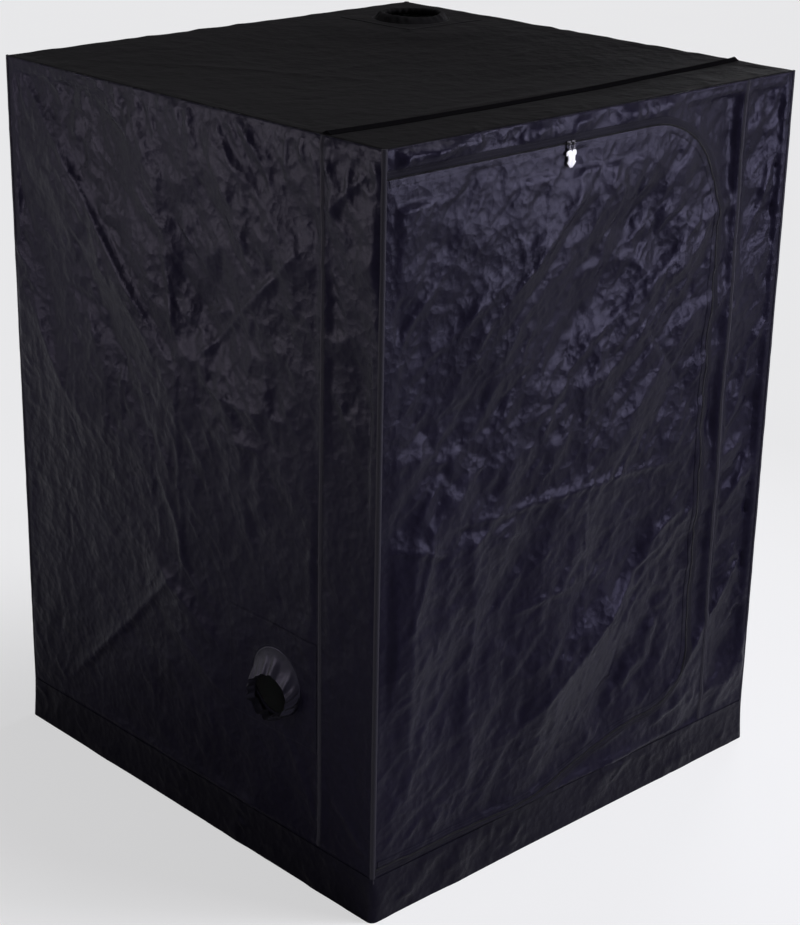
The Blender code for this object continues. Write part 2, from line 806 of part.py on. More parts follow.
def make_side_walls(hole, patch):
    seam = LEFT_SEAM_FROM_FRONT
    near = WALL_FOOT
    far = DEPTH - WALL_FOOT
    outline = rectangle(seam + CLEARANCE, WALL_FOOT, far, WALL_TOP)
    folds = fold_lines(LEFT_FOLD_SHARES, DEPTH, HEIGHT)
    field = inset_rectangle(outline, EDGE_FLAT)
    mesh = panel(on_left, outline, [hole], folds, [field, patch], fold_relief(folds, field, [patch]))
    add_node("left_wall", mesh, cover_cloth("left_wall"))
    outline = rectangle(near, WALL_FOOT, seam, WALL_TOP)
    folds = fold_lines(LEFT_STRIP_FOLD_SHARES, DEPTH, HEIGHT)
    field = inset_rectangle(outline, EDGE_FLAT)
    mesh = panel(on_left, outline, [], folds, [field], fold_relief(folds, field))
    add_node("left_wall_front_strip", mesh, cover_cloth("left_wall_front_strip"))
    mesh = panel(on_right, rectangle(near, WALL_FOOT, far, WALL_TOP))
    add_node("right_wall", mesh, cover_cloth("right_wall"))
    mesh = panel(on_back, rectangle(0, WALL_FOOT, WIDTH, WALL_TOP))
    add_node("back_wall", mesh, cover_cloth("back_wall"))


def make_front():
    outline = rectangle(0, WALL_FOOT, FRONT_SEAM - CLEARANCE, WALL_TOP)
    hole = zip_line_moved(ZIP_HALF_GAP, ZIP_FROM_LEFT)
    mesh = panel(on_front, outline, [hole])
    add_node("front_surround", mesh, cover_cloth("front_surround"))
    outline = rectangle(FRONT_SEAM, WALL_FOOT, WIDTH, WALL_TOP)
    folds = fold_lines(RIGHT_STRIP_FOLD_SHARES, WIDTH, HEIGHT)
    field = inset_rectangle(outline, EDGE_FLAT)
    mesh = panel(on_front, outline, [], folds, [field], fold_relief(folds, field))
    add_node("front_right_strip", mesh, cover_cloth("front_right_strip"))
    left = ZIP_FROM_LEFT
    name = "zip_tape_surround"
    near = zip_line_moved(ZIP_HALF_GAP, left)
    far = zip_line_moved(ZIP_HALF_GAP + TAPE_WIDTH, left)
    add_node(name, ribbon(on_front, near, far, CLEARANCE, TAPE_FRONT), tape_cloth(name))


def make_door():
    """The door panel and its half of the zip tape swing about the sewn left edge."""
    pivot = add_pivot("door_hinge", (PIVOT_X, PIVOT_Y, 0))
    left = ZIP_FROM_LEFT + HINGE_GAP
    outline = zip_line_moved(-ZIP_HALF_GAP, left)
    folds = fold_lines(DOOR_FOLD_SHARES, WIDTH, HEIGHT)
    field = zip_line_moved(-ZIP_HALF_GAP - TAPE_WIDTH, ZIP_FROM_LEFT + EDGE_FLAT)
    mesh = panel(on_front, outline, [], folds, [field], fold_relief(folds, field))
    add_node("door_panel", mesh, cover_cloth("door_panel"), pivot.location, pivot)
    name = "zip_tape_door"
    near = zip_line_moved(-ZIP_HALF_GAP, left)
    far = zip_line_moved(-ZIP_HALF_GAP - TAPE_WIDTH, left)
    mesh = ribbon(on_front, near, far, CLEARANCE, TAPE_FRONT)
    add_node(name, mesh, tape_cloth(name), pivot.location, pivot)
    return pivot


def slider_mesh(place, side):
    """A slider: a tapered plate with a crown, an arch whose bar carries the pull."""
    back = TAPE_FRONT + CLEARANCE
    face = back + SLIDER_THICKNESS
    half = SLIDER_LENGTH / 2
    tail = SLIDER_WIDTH / 2
    nose = tail * SLIDER_NOSE_SHARE
    shoulder = half / 2
    outline = [(half, -tail), (half, tail), (-shoulder, tail), (-half, nose), (-half, -nose), (-shoulder, -tail)]
    points = [on_front(place.x + side * along, place.y + up, back) for along, up in outline]
    plate = extruded(points, on_front(0, 0, face) - on_front(0, 0, back))
    reach = CROWN_LENGTH / 2
    leg = reach - CROWN_BAR
    top = face + CROWN_RISE + CROWN_BAR / 2
    under = face + CROWN_RISE - CROWN_BAR / 2
    sunk = face - CROWN_BAR
    arch = [
        (-reach, sunk),
        (-reach, top),
        (reach, top),
        (reach, sunk),
        (leg, sunk),
        (leg, under),
        (-leg, under),
        (-leg, sunk),
    ]
    points = [on_front(place.x + along, place.y - CROWN_BAR / 2, out) for along, out in arch]
    return fuse(plate, extruded(points, (0, 0, CROWN_BAR)))


def pull_mesh(place, side):
    """A pull: a loop round the crown's bar, and a flat tab that hangs from it to a barbed point."""
    bar_out = TAPE_FRONT + CLEARANCE + SLIDER_THICKNESS + CROWN_RISE
    outer = PULL_LOOP_BORE + PULL_LOOP_WALL
    start = on_front(place.x - PULL_LOOP_WIDTH / 2, place.y, bar_out)
    profile = [(PULL_LOOP_BORE, 0), (outer, 0), (outer, PULL_LOOP_WIDTH), (PULL_LOOP_BORE, PULL_LOOP_WIDTH)]
    loop = turned(profile, start, (1, 0, 0), LOOP_SIDES)
    neck = PULL_NECK_WIDTH / 2
    inner = SLIDER_SPACING / 2 - CLEARANCE
    outer_edge = PULL_WIDTH - inner
    top = -(PULL_LOOP_BORE + PULL_LOOP_WALL / 2)
    shoulder = top - PULL_NECK_LENGTH
    barb = PULL_POINT_LENGTH - PULL_LENGTH
    outline = [
        (-neck, top),
        (-neck, shoulder),
        (-inner, shoulder - PULL_NECK_WIDTH),
        (-inner, -PULL_LENGTH),
        (-inner + PULL_NECK_WIDTH / 2, -PULL_LENGTH),
        (outer_edge + PULL_BARB, barb),
        (outer_edge, barb + PULL_BARB),
        (outer_edge, shoulder - PULL_NECK_WIDTH),
        (neck, shoulder),
        (neck, top),
    ]
    out = bar_out - PULL_THICKNESS / 2
    points = [on_front(place.x + side * along, place.y + up, out) for along, up in outline]
    return fuse(loop, extruded(points, (0, -PULL_THICKNESS, 0)))


def make_sliders(door):
    """Two sliders that meet on the top run, each with its pull."""
    run = ZIP_RIGHT - ZIP_TOP_RADIUS - ZIP_FROM_LEFT
    meeting = Vector((ZIP_FROM_LEFT + run * SLIDER_PLACE_SHARE, ZIP_TOP))
    bar_out = TAPE_FRONT + CLEARANCE + SLIDER_THICKNESS + CROWN_RISE
    for side_name, side in (("left", -1), ("right", 1)):
        place = meeting + Vector((side * SLIDER_SPACING / 2, 0))
        hinge = on_front(place.x, place.y, bar_out)
        slide = add_pivot(f"zip_slider_{side_name}_slide", hinge - door.location)
        slide.parent = door
        for name, mesh, material in (
            (f"zip_slider_{side_name}", slider_mesh(place, side), slider_metal),
            (f"zip_pull_{side_name}", pull_mesh(place, side), white_plastic),
        ):
            node = add_node(name, mesh, material(name), hinge, smooth=True)
            node.parent = slide
            node.location = (0, 0, 0)


def make_roof_and_floor(hole):
    seam = ROOF_SEAM_FROM_FRONT
    mesh = panel(on_roof, rectangle(0, seam + CLEARANCE, WIDTH, DEPTH), [hole], relief=roof_relief)
    add_node("roof_panel", mesh, cover_cloth("roof_panel"))
    mesh = panel(on_roof, rectangle(0, 0, WIDTH, seam), relief=roof_relief)
    add_node("roof_front_strip", mesh, cover_cloth("roof_front_strip"))
    mesh = panel(on_floor, rectangle(0, 0, WIDTH, DEPTH))
    add_node("floor_panel", mesh, base_cloth("floor_panel"))


def make_base_bands():
    """Strips of floor cloth that stand up round the base, mitred at the corners and flared below."""
    section = [
        (CLEARANCE, BAND_HEIGHT),
        (CLEARANCE + BAND_THICKNESS, BAND_HEIGHT),
        (CLEARANCE + BAND_THICKNESS + BAND_FLARE, 0),
        (CLEARANCE + BAND_FLARE, 0),
    ]
    for name, place, length in (
        ("base_band_front", on_front, WIDTH),
        ("base_band_back", on_back, WIDTH),
        ("base_band_left", on_left, DEPTH),
        ("base_band_right", on_right, DEPTH),
    ):
        near = [place(CLEARANCE / 2 - out, up, out) for out, up in section]
        far = [place(length - CLEARANCE / 2 + out, up, out) for out, up in section]
        count = len(section)
        faces = [list(range(count)), list(range(2 * count - 1, count - 1, -1))]
        for index in range(count):
            after = (index + 1) % count
            faces.append([index, count + index, count + after, after])
        add_node(name, mesh_from(near + far, faces), base_cloth(name))


def make_corner_bindings():
    """Folded tape over the four upright corner seams."""
    low = CLEARANCE
    high = CLEARANCE + BINDING_THICKNESS
    leg = -BINDING_LEG
    section = [(high, high), (leg, high), (leg, low), (low, low), (low, leg), (high, leg)]
    foot = BAND_HEIGHT + CLEARANCE
    for depth_name, back in (("front", -1), ("back", 1)):
        for side_name, side in (("left", -1), ("right", 1)):
            name = f"corner_binding_{depth_name}_{side_name}"
            points = [(side * (WIDTH / 2 + a), back * (DEPTH / 2 + b), foot) for a, b in section]
            add_node(name, extruded(points, (0, 0, HEIGHT - foot)), tape_cloth(name))


def build():
    clear_scene()
    make_connectors()
    make_uprights()
    make_rails()
    make_roof_bars()
    hole, patch = make_wall_port()
    make_side_walls(hole, patch)
    make_front()
    door = make_door()
    make_sliders(door)
    make_roof_and_floor(make_roof_port())
    make_base_bands()
    make_corner_bindings()


build()
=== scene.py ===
"""Indoor grow tent: the looks of its cover, zip, ports and pole frame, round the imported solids.

Metres, +Z up, and the door faces -Y. A place on a face is given as along, up and out: along from
the left, or on the side walls from the front, up from the floor, and out from the cloth's outer side.
"""
import json
import math

import bmesh
import bpy
import numpy as np
from mathutils import Matrix, Vector
from mathutils.geometry import delaunay_2d_cdt


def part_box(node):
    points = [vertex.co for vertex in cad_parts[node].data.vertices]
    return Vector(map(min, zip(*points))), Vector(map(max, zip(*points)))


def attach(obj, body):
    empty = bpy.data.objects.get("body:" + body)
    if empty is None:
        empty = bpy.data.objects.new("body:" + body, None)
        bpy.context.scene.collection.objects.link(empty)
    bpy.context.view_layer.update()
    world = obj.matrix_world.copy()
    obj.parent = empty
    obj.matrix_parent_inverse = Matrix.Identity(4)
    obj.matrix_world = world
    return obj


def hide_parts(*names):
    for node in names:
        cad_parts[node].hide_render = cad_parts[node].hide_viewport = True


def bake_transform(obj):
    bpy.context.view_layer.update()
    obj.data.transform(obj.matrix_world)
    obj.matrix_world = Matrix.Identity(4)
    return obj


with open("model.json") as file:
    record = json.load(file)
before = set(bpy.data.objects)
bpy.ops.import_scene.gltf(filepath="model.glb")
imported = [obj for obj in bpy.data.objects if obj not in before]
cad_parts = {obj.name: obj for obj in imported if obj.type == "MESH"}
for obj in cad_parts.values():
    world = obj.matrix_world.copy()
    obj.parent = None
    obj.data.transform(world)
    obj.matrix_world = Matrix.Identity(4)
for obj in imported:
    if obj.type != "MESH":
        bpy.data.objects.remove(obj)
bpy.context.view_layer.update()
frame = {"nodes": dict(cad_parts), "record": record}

# Sizes of the cover, read off the frame
HALF_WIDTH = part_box("roof_panel")[1].x
HALF_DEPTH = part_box("roof_panel")[1].y
WIDTH = 2 * HALF_WIDTH
DEPTH = 2 * HALF_DEPTH
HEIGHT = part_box("roof_front_strip")[1].z
WALL_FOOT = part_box("left_wall")[0].z
LEFT_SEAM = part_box("left_wall")[0].y + HALF_DEPTH
FRONT_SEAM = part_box("front_right_strip")[0].x + HALF_WIDTH
ROOF_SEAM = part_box("roof_panel")[0].y + HALF_DEPTH
BAND_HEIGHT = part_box("base_band_front")[1].z
BAND_FLARE = -HALF_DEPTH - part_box("base_band_front")[0].y

# Cloth
CLOTH = 0.0009
CLEARANCE = 0.0003
EDGE_ROUND = 0.007
FINE_STEP = 0.0074
COARSE_STEP = 0.0105
FLOOR_STEP = 0.022
RASTER = 0.004
STEP_JITTER_SHARE = 0.10
OUTWARD_SHARE = 0.6
EDGE_GUIDE_SHARES = (0.35, 0.7, 1.0)
BAND_CLOTH = 0.0016

# Zip
TAPE_WIDTH = 0.020
ZIP_HALF_GAP = 0.0004
ZIP_TOP_RADIUS = 0.300
ZIP_LOW_RADIUS = 0.200
ZIP_LOW_CORNER_HEIGHT = 0.240
ZIP_SLOPE_LENGTH = 0.480
HINGE_GAP = 0.0015
HINGE_BEND = 0.030
ZIP_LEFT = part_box("zip_tape_surround")[0].x + HALF_WIDTH
ZIP_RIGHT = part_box("zip_tape_surround")[1].x + HALF_WIDTH - TAPE_WIDTH - ZIP_HALF_GAP
ZIP_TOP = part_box("zip_tape_surround")[1].z - TAPE_WIDTH - ZIP_HALF_GAP
ZIP_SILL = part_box("zip_tape_surround")[0].z + TAPE_WIDTH + ZIP_HALF_GAP
TAPE_LIFT = 0.0013
TOOTH_SPACING = 0.0024
TOOTH_SIZE = (0.0011, 0.0016, 0.0036)
TOOTH_OFFSET = 0.0015

# Stitches
STITCH_SPACING = 0.0042
STITCH_SIZE = (0.0030, 0.0008, 0.0008)
STITCH_LIFT = 0.0003
STITCH_MARGIN = 0.003
SEWING_STEP = 0.012
ROW_END = 0.01

# Seams and bindings
SEAM_HALF = 0.006
SEAM_RISE = 0.0032
ROOF_SEAM_HALF = 0.0150
ROOF_SEAM_RISE = 0.0080
BINDING_STEP = 0.010
BINDING_LEG = 0.0095
BINDING_LIFT = 0.0014
BINDING_LEG_DEPTH = BINDING_LIFT * 2.5 * 0.5
BINDING_BEND_DEPTH = BINDING_LIFT * 2.5 * 0.7
BINDING_PUCKER = 0.0009
BINDING_FLAT_STEP = 0.002
STRIP_FOOT = 0.0006
SEAM_STEP = 0.006
PATCH_LIFT = 0.0012
PATCH_CLOTH = 0.001

# Sleeves of the two duct ports
PORT_CUFF_REACH = 0.050
PORT_CUFF_DROP = 0.032
PORT_MOUTH_HALF_WIDTH = 0.074
PORT_MOUTH_HALF_HEIGHT = 0.052
PORT_TOP_REACH_SHARE = 0.45
PORT_GATHER = 0.0080
ROOF_CUFF_REACH = 0.024
ROOF_MOUTH_RADIUS = 0.088
ROOF_GATHER = 0.0045
PORT_BULGE = 0.012
PORT_RIM = 0.003
PORT_LIP = 0.004
PORT_LIP_DEPTH = 0.024
ROOF_RIM = 0.0025
ROOF_LIP = 0.004
ROOF_LIP_INSET = 0.006
ROOF_LIP_DEPTH = 0.018
PORT_CLOTH_STEP = 0.006
ROOF_PORT_CLOTH_STEP = 0.007

# Duct port low on the left wall
PORT_FLANGE = 0.012
PORT_LOW, PORT_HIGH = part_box("wall_port_cuff")
PORT_RADIUS = (PORT_HIGH.y - PORT_LOW.y) / 2 - PORT_FLANGE
PORT_ALONG = (PORT_HIGH.y + PORT_LOW.y) / 2 + HALF_DEPTH
PORT_UP = PORT_HIGH.z - PORT_RADIUS - PORT_FLANGE
PATCH_LOW, PATCH_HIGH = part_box("wall_port_patch")

# Duct port at the back right of the roof
ROOF_PORT_LOW, ROOF_PORT_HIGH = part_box("roof_port_cuff")
ROOF_PORT_RADIUS = (ROOF_PORT_HIGH.x - ROOF_PORT_LOW.x) / 2 - PORT_FLANGE
ROOF_PORT_ALONG = (ROOF_PORT_HIGH.x + ROOF_PORT_LOW.x) / 2 + HALF_WIDTH
ROOF_PORT_BACK = (ROOF_PORT_HIGH.y + ROOF_PORT_LOW.y) / 2 + HALF_DEPTH
ROOF_PATCH_LOW, ROOF_PATCH_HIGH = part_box("roof_port_patch")
ROOF_PLATEAU = 0.200

# Both patches: the low and the high corner on their face
PATCH_CORNERS = (PATCH_LOW.y + HALF_DEPTH, PATCH_LOW.z, PATCH_HIGH.y + HALF_DEPTH, PATCH_HIGH.z)
ROOF_PATCH_CORNERS = (
    ROOF_PATCH_LOW.x + HALF_WIDTH, ROOF_PATCH_LOW.y + HALF_DEPTH,
    ROOF_PATCH_HIGH.x + HALF_WIDTH, ROOF_PATCH_HIGH.y + HALF_DEPTH,
)
PORT_SIDES = 72

# Hard parts
MERGE_DISTANCE = 0.00002
CORNER_BEVEL = 0.0025
HOOK_BEVEL = 0.0006
TUBE_BEVEL = 0.0003
SLIDER_BEVEL = 0.0005

# A pull's outline from its hinge, outwards and down, as shares of its length
PULL_OUTLINE_SHARES = [
    (-0.122, 0.330), (-0.085, 0.285), (-0.020, 0.270), (0.050, 0.270), (0.115, 0.290), (0.175, 0.330),
    (0.205, 0.400), (0.198, 0.465), (0.165, 0.505), (0.128, 0.495), (0.105, 0.460), (0.082, 0.520),
    (0.070, 0.620), (0.074, 0.710), (0.138, 0.775), (0.030, 0.905), (-0.070, 1.000), (-0.122, 0.990),
]
PULL_BODY_SHARE = 0.082
PULL_LOBE_END_SHARE = 0.6
PULL_LOOP_SHARE = 0.34
PULL_PLATE = 0.0026
PULL_EDGE = 0.0007

# The photograph's camera, fitted: azimuth, elevation and roll in degrees, then the picture in pixels
CAMERA_PLACE = (-3.896, -4.085, 3.028)
CAMERA_ANGLES = (42.491, 20.992, 0.664)
IMAGE_WIDTH = 800
IMAGE_HEIGHT = 925
FOCAL_PIXELS = 2101.6
MIDDLE_X = 350.6
MIDDLE_Y = 457.9

# Width of the camera's sensor in millimetres, and how far it sees
SENSOR_WIDTH = 36.0
VIEW_REACH = 200

# Studio
FLOOR_REACH = 60.0
FLOOR_WHITE_SHARE = 0.6
BACKDROP_STRENGTH = 0.50
BACKDROP_SEEN = 0.78
WORLD_LIGHT = 0.10
LAMP_SPREAD = 100

# Lamps: kind, place, target, strength, size (the sun's in degrees) and colour
LAMPS = [
    ("top_light", "SUN", (3.0, -2.0, 6.0), (0, 0, 0), 2.1, 30, (1.0, 1.0, 1.0)),
    ("right_lamp", "AREA", (2.25, -3.4, 1.8), (-0.15, -0.75, 1.7), 31, (0.9, 1.3), (0.86, 0.86, 1.0)),
    ("left_lamp", "AREA", (-3.1, 1.8, 1.6), (-0.75, -0.3, 1.7), 10, (0.9, 1.1), (1.0, 0.94, 0.90)),
    ("side_lamp", "AREA", (3.6, 1.0, 2.0), (0.75, 0.0, 1.5), 16, (1.2, 1.4), (0.94, 0.95, 1.0)),
]

# Grain of the materials
THREAD_PITCH = 0.0011
TAPE_PITCH = 0.0016
BINDING_PITCH = 0.0012
DIAMOND_PITCH = 0.009
CRUSH_SHAKE = 0.05
CRIMP_SHAKE = 0.022
LINING_BUMP = 0.0020
RIB_BUMP = 0.00025
GRAIN_BUMP = 0.0002
THREAD_BUMP = 0.00012
FINE_BUMP = 0.0001
SMOOTH_BUMP = 0.00005

# Room that the cloth leaves for what moves on it and stands behind it
PULL_ROOM = 0.0025
PULL_PATH_HEIGHT = 1.897
PULL_PATH_REACH = 0.050
SLIDER_ROOM = 0.009
EDGE_WAVE = 0.0028
EDGE_WAVE_REACH = 0.030
WAVE_COUNT = 42
WAVE_SEEDS = {"front": 101, "left": 102, "back": 103, "right": 104}
POLE_ZONE = 0.034
POLE_ROOM = 0.0008
ROOF_SAG = 0.022

# Base bands
BAND_END = 0.03
BAND_PUCKER_LENGTH = 0.05
BAND_PUCKER_RISE = 0.0022
BAND_PUCKER_WIDTH = 0.009
BAND_PUCKER_SPACING = 0.03
BAND_DENT = 0.0012
BAND_TOP_REACH = 0.016
BAND_FOOT_REACH = 0.03
BAND_FOOT_SHARE = 0.35
BAND_END_CALM = 0.002

# Where a wall's cloth is lively and where it is quiet
PATCH_SPACING = 0.26
RIDGE_HALF = 0.015
RIDGE_REACH = 0.05
LIVELY_FOOT = 0.95
LIVELY_RISE = 0.55
CALM_CORNER_END = 0.80
QUIET_ALONG = 0.95
QUIET_MIDDLE = 1.0
QUIET_LEAN_SHARE = 0.25
QUIET_FADE = 0.25
PORT_SIDE_TOP = 0.85
PORT_SIDE_FADE = 0.2
PORT_SIDE_END = 1.05

# Where and how far the cloth calms beside its seams
SEAM_CALM = 0.004
SEAM_CALM_REACH = 0.030
EDGE_CALM_REACH = 0.020
ROOF_EDGE_CALM_REACH = 0.022
BAND_CALM = 0.001
BAND_CALM_REACH = 0.014
PORT_CALM_REACH = 0.060
CALM_SHARE = 0.25
LEFT_CALM_SHARE = 0.20
ZIP_CALM_SHARE = 0.75
HINGE_CALM_SHARE = 0.15
TOP_GATHERS = [(0.03, 1.985), (1.47, 1.985)]
SIDE_GATHERS = [(1.485, 0.20), (1.485, 1.90)]
FRONT_SEAM_GATHERS = [(FRONT_SEAM, 0.20), (FRONT_SEAM, 1.90)]
LEFT_SEAM_GATHERS = [(LEFT_SEAM, 0.20), (LEFT_SEAM, 1.90)]
FRONT_FOOT_FOLD = [(0.10, 0.143), (0.45, 0.139), (0.74, 0.139), (1.06, 0.142), (1.28, 0.150)]
FOOT_FOLD = [(0.12, 0.141), (0.55, 0.138), (1.00, 0.139), (1.36, 0.141)]
FRONT_FOOT_RISE = 0.018
FRONT_FOOT_WIDTH = 0.044
FOOT_RISE = 0.007
FOOT_WIDTH = 0.028
PACKING_FOLDS = [
    ([(0.03, 1.02), (0.50, 1.00), (1.00, 1.01), (1.47, 0.99)], 0.006, 0.026),
    ([(0.74, 1.95), (0.76, 1.30), (0.75, 0.60), (0.75, 0.15)], 0.005, 0.024),
]

# Crumples of each face: spacing, rise, stretch, lean in degrees, and the cloth that gets most of them
FRONT_CRUMPLES = [
    (0.260, 0.0170, 1.5, 42, "all"),
    (0.130, 0.0110, 1.9, 43, "all"),
    (0.060, 0.0060, 1.7, 44, "lively"),
    (0.030, 0.0032, 1.4, 48, "lively"),
]
LEFT_CRUMPLES = [
    (0.260, 0.0140, 1.5, 42, "large"),
    (0.130, 0.0090, 1.6, 44, "middling"),
    (0.060, 0.0058, 1.4, 50, "lively"),
    (0.030, 0.0032, 1.3, 50, "lively"),
]
PLAIN_CRUMPLES = [
    (0.260, 0.0140, 1.5, 45, "all"),
    (0.130, 0.0090, 1.7, 48, "all"),
    (0.060, 0.0054, 1.5, 50, "lively"),
    (0.032, 0.0030, 1.4, 50, "lively"),
]
ROOF_CRUMPLES = [
    (0.200, 0.0030, 2.4, 8, "all"),
    (0.090, 0.0017, 2.2, 10, "all"),
    (0.045, 0.0008, 1.6, 20, "all"),
]
FLOOR_CRUMPLES = [(0.150, 0.0010, 1.5, 30, "all")]
BAND_CRUMPLES = [
    (0.110, 0.0080, 1.8, 20, "all"),
    (0.050, 0.0042, 1.6, 25, "all"),
    (0.026, 0.0018, 1.5, 30, "all"),
]

# Folds seen in the light, as shares of their face, then shares of the rise and width, and the slant.
# The swells are wide, and the folds on them narrow
FRONT_FOLD_SHARES = [
    ([(0.001, 0.510), (0.062, 0.504), (0.163, 0.475)], 0.7, 0.4, 0.3),
    ([(0.116, 0.512), (0.227, 0.510), (0.303, 0.505),
      (0.515, 0.502), (0.638, 0.498), (0.779, 0.487)], 0.9, 0.5, 0.3),
    ([(0.865, 0.470), (0.93, 0.482), (0.99, 0.500)], 0.6, 0.4, 0.3),
    ([(0.505, 0.905), (0.407, 0.843), (0.327, 0.784), (0.250, 0.730)], -0.9, 0.9, 0.0),
    ([(0.470, 0.910), (0.370, 0.850), (0.290, 0.800), (0.200, 0.735)], 0.8, 0.7, -0.3),
    ([(0.677, 0.740), (0.607, 0.696), (0.537, 0.660)], -0.7, 0.6, 0.0),
    ([(0.620, 0.715), (0.690, 0.655), (0.760, 0.595)], -0.7, 0.5, 0.0),
    ([(0.471, 0.736), (0.49, 0.542), (0.506, 0.327), (0.505, 0.181)], 0.35, 0.35, 0.0),
    ([(0.389, 0.88), (0.256, 0.807), (0.147, 0.759), (0.041, 0.713)], 0.8, 0.8, 0.3),
    ([(0.183, 0.88), (0.099, 0.817), (0.022, 0.76)], 0.6, 0.7, 0.3),
    ([(0.726, 0.796), (0.601, 0.745), (0.504, 0.705), (0.41, 0.652), (0.343, 0.596)], 0.9, 0.9, 0.2),
    ([(0.748, 0.385), (0.682, 0.369), (0.619, 0.335),
      (0.569, 0.299), (0.457, 0.242), (0.327, 0.181)], 1.0, 0.8, 0.3),
    ([(0.774, 0.417), (0.700, 0.400), (0.640, 0.355)], 0.8, 0.6, 0.3),
    ([(0.334, 0.42), (0.222, 0.334), (0.134, 0.272), (0.07, 0.206)], 0.6, 0.7, 0.2),
    ([(0.305, 0.355), (0.394, 0.366), (0.497, 0.368)], 0.8, 0.5, 0.3),
    ([(0.979, 0.312), (0.929, 0.279), (0.875, 0.234),
      (0.822, 0.190), (0.791, 0.159), (0.712, 0.135)], 1.3, 0.6, 0.4),
    ([(0.706, 0.096), (0.760, 0.106), (0.821, 0.124)], 0.9, 0.5, 0.3),
    ([(0.547, 0.098), (0.600, 0.104), (0.657, 0.118)], 1.0, 0.5, 0.3),
    ([(0.990, 0.500), (0.935, 0.430), (0.890, 0.380)], 0.9, 0.6, 0.3),
    ([(0.987, 0.919), (0.942, 0.839), (0.9, 0.773)], 0.8, 0.7, 0.3),
    ([(0.989, 0.674), (0.944, 0.622), (0.896, 0.601)], 0.8, 0.6, 0.3),
    ([(0.100, 0.540), (0.115, 0.500), (0.085, 0.440), (0.060, 0.390)], 0.8, 0.5, 0.2),
]
FRONT_SWELL_SHARES = [
    ([(0.790, 0.470), (0.682, 0.369), (0.569, 0.299), (0.457, 0.230), (0.327, 0.150)], 1.0, 1.0, 0.3),
    ([(0.720, 0.310), (0.640, 0.215), (0.540, 0.130)], -1.0, 1.1, 0.0),
    ([(0.990, 0.330), (0.900, 0.250), (0.822, 0.180), (0.700, 0.110)], 0.9, 0.9, 0.3),
    ([(0.122, 0.573), (0.080, 0.509), (0.065, 0.443), (0.071, 0.272), (0.084, 0.150)], 0.7, 0.5, 0.2),
    ([(0.253, 0.537), (0.201, 0.461), (0.226, 0.368), (0.212, 0.281), (0.209, 0.130)], 0.7, 0.6, 0.3),
    ([(0.430, 0.480), (0.330, 0.400), (0.290, 0.320)], -0.8, 0.9, 0.0),
    ([(0.520, 0.960), (0.300, 0.800), (0.100, 0.650)], 0.7, 1.1, 0.2),
    ([(0.700, 0.930), (0.520, 0.790), (0.360, 0.660)], -0.8, 0.9, 0.0),
    ([(0.860, 0.850), (0.640, 0.720), (0.450, 0.570)], 0.8, 1.0, 0.2),
    ([(0.860, 0.700), (0.740, 0.610), (0.640, 0.530)], -0.7, 0.8, 0.0),
    ([(0.260, 0.700), (0.130, 0.610), (0.030, 0.560)], -0.6, 0.9, 0.0),
]
LEFT_FOLD_SHARES = [
    ([(0.985, 0.998), (0.873, 0.921), (0.765, 0.833),
      (0.658, 0.747), (0.580, 0.689), (0.500, 0.630)], 1.2, 0.85, 0.4),
    ([(0.930, 0.985), (0.830, 0.900), (0.740, 0.830)], 0.5, 0.5, 0.0),
    ([(0.161, 0.872), (0.248, 0.814), (0.339, 0.753), (0.403, 0.708), (0.490, 0.648)], 0.8, 0.5, -0.2),
    ([(0.040, 0.965), (0.080, 0.938), (0.125, 0.905)], 0.7, 0.5, 0.2),
    ([(0.758, 0.988), (0.690, 0.959), (0.613, 0.928)], 0.9, 0.7, -0.3),
    ([(0.627, 0.874), (0.573, 0.840), (0.529, 0.826)], 0.8, 0.5, 0.3),
    ([(0.552, 0.812), (0.532, 0.762), (0.523, 0.710), (0.491, 0.668)], 0.7, 0.4, 0.3),
    ([(0.447, 0.988), (0.398, 0.921), (0.337, 0.875)], 0.9, 0.7, -0.3),
    ([(0.345, 0.996), (0.296, 0.964), (0.247, 0.912)], 0.9, 0.6, -0.3),
    ([(0.957, 0.714), (0.914, 0.623), (0.844, 0.549), (0.783, 0.514)], 0.5, 0.6, 0.3),
    ([(0.470, 0.650), (0.426, 0.637), (0.350, 0.628), (0.279, 0.624)], 0.8, 0.4, -0.3),
    ([(0.417, 0.579), (0.350, 0.578), (0.279, 0.582)], 0.7, 0.4, -0.3),
    ([(0.467, 0.726), (0.410, 0.740), (0.360, 0.750)], 0.7, 0.4, 0.3),
    ([(0.105, 0.147), (0.053, 0.121), (0.009, 0.088)], 0.9, 0.6, 0.2),
    ([(0.560, 0.350), (0.448, 0.310), (0.370, 0.270)], 1.3, 1.0, 0.2),
    ([(0.545, 0.290), (0.450, 0.245), (0.380, 0.215)], 1.0, 0.8, 0.2),
    ([(0.565, 0.486), (0.509, 0.427), (0.499, 0.364), (0.400, 0.330)], 0.9, 0.6, 0.2),
    ([(0.895, 0.085), (0.729, 0.200), (0.597, 0.300), (0.510, 0.362)], 0.9, 0.7, -0.3),
    ([(0.507, 0.710), (0.512, 0.560), (0.505, 0.430), (0.500, 0.200)], 0.4, 0.4, 0.0),
    ([(0.300, 0.270), (0.180, 0.160), (0.150, 0.100)], 0.6, 0.6, 0.2),
    ([(0.130, 0.560), (0.160, 0.480), (0.150, 0.380)], 0.4, 0.5, 0.0),
]
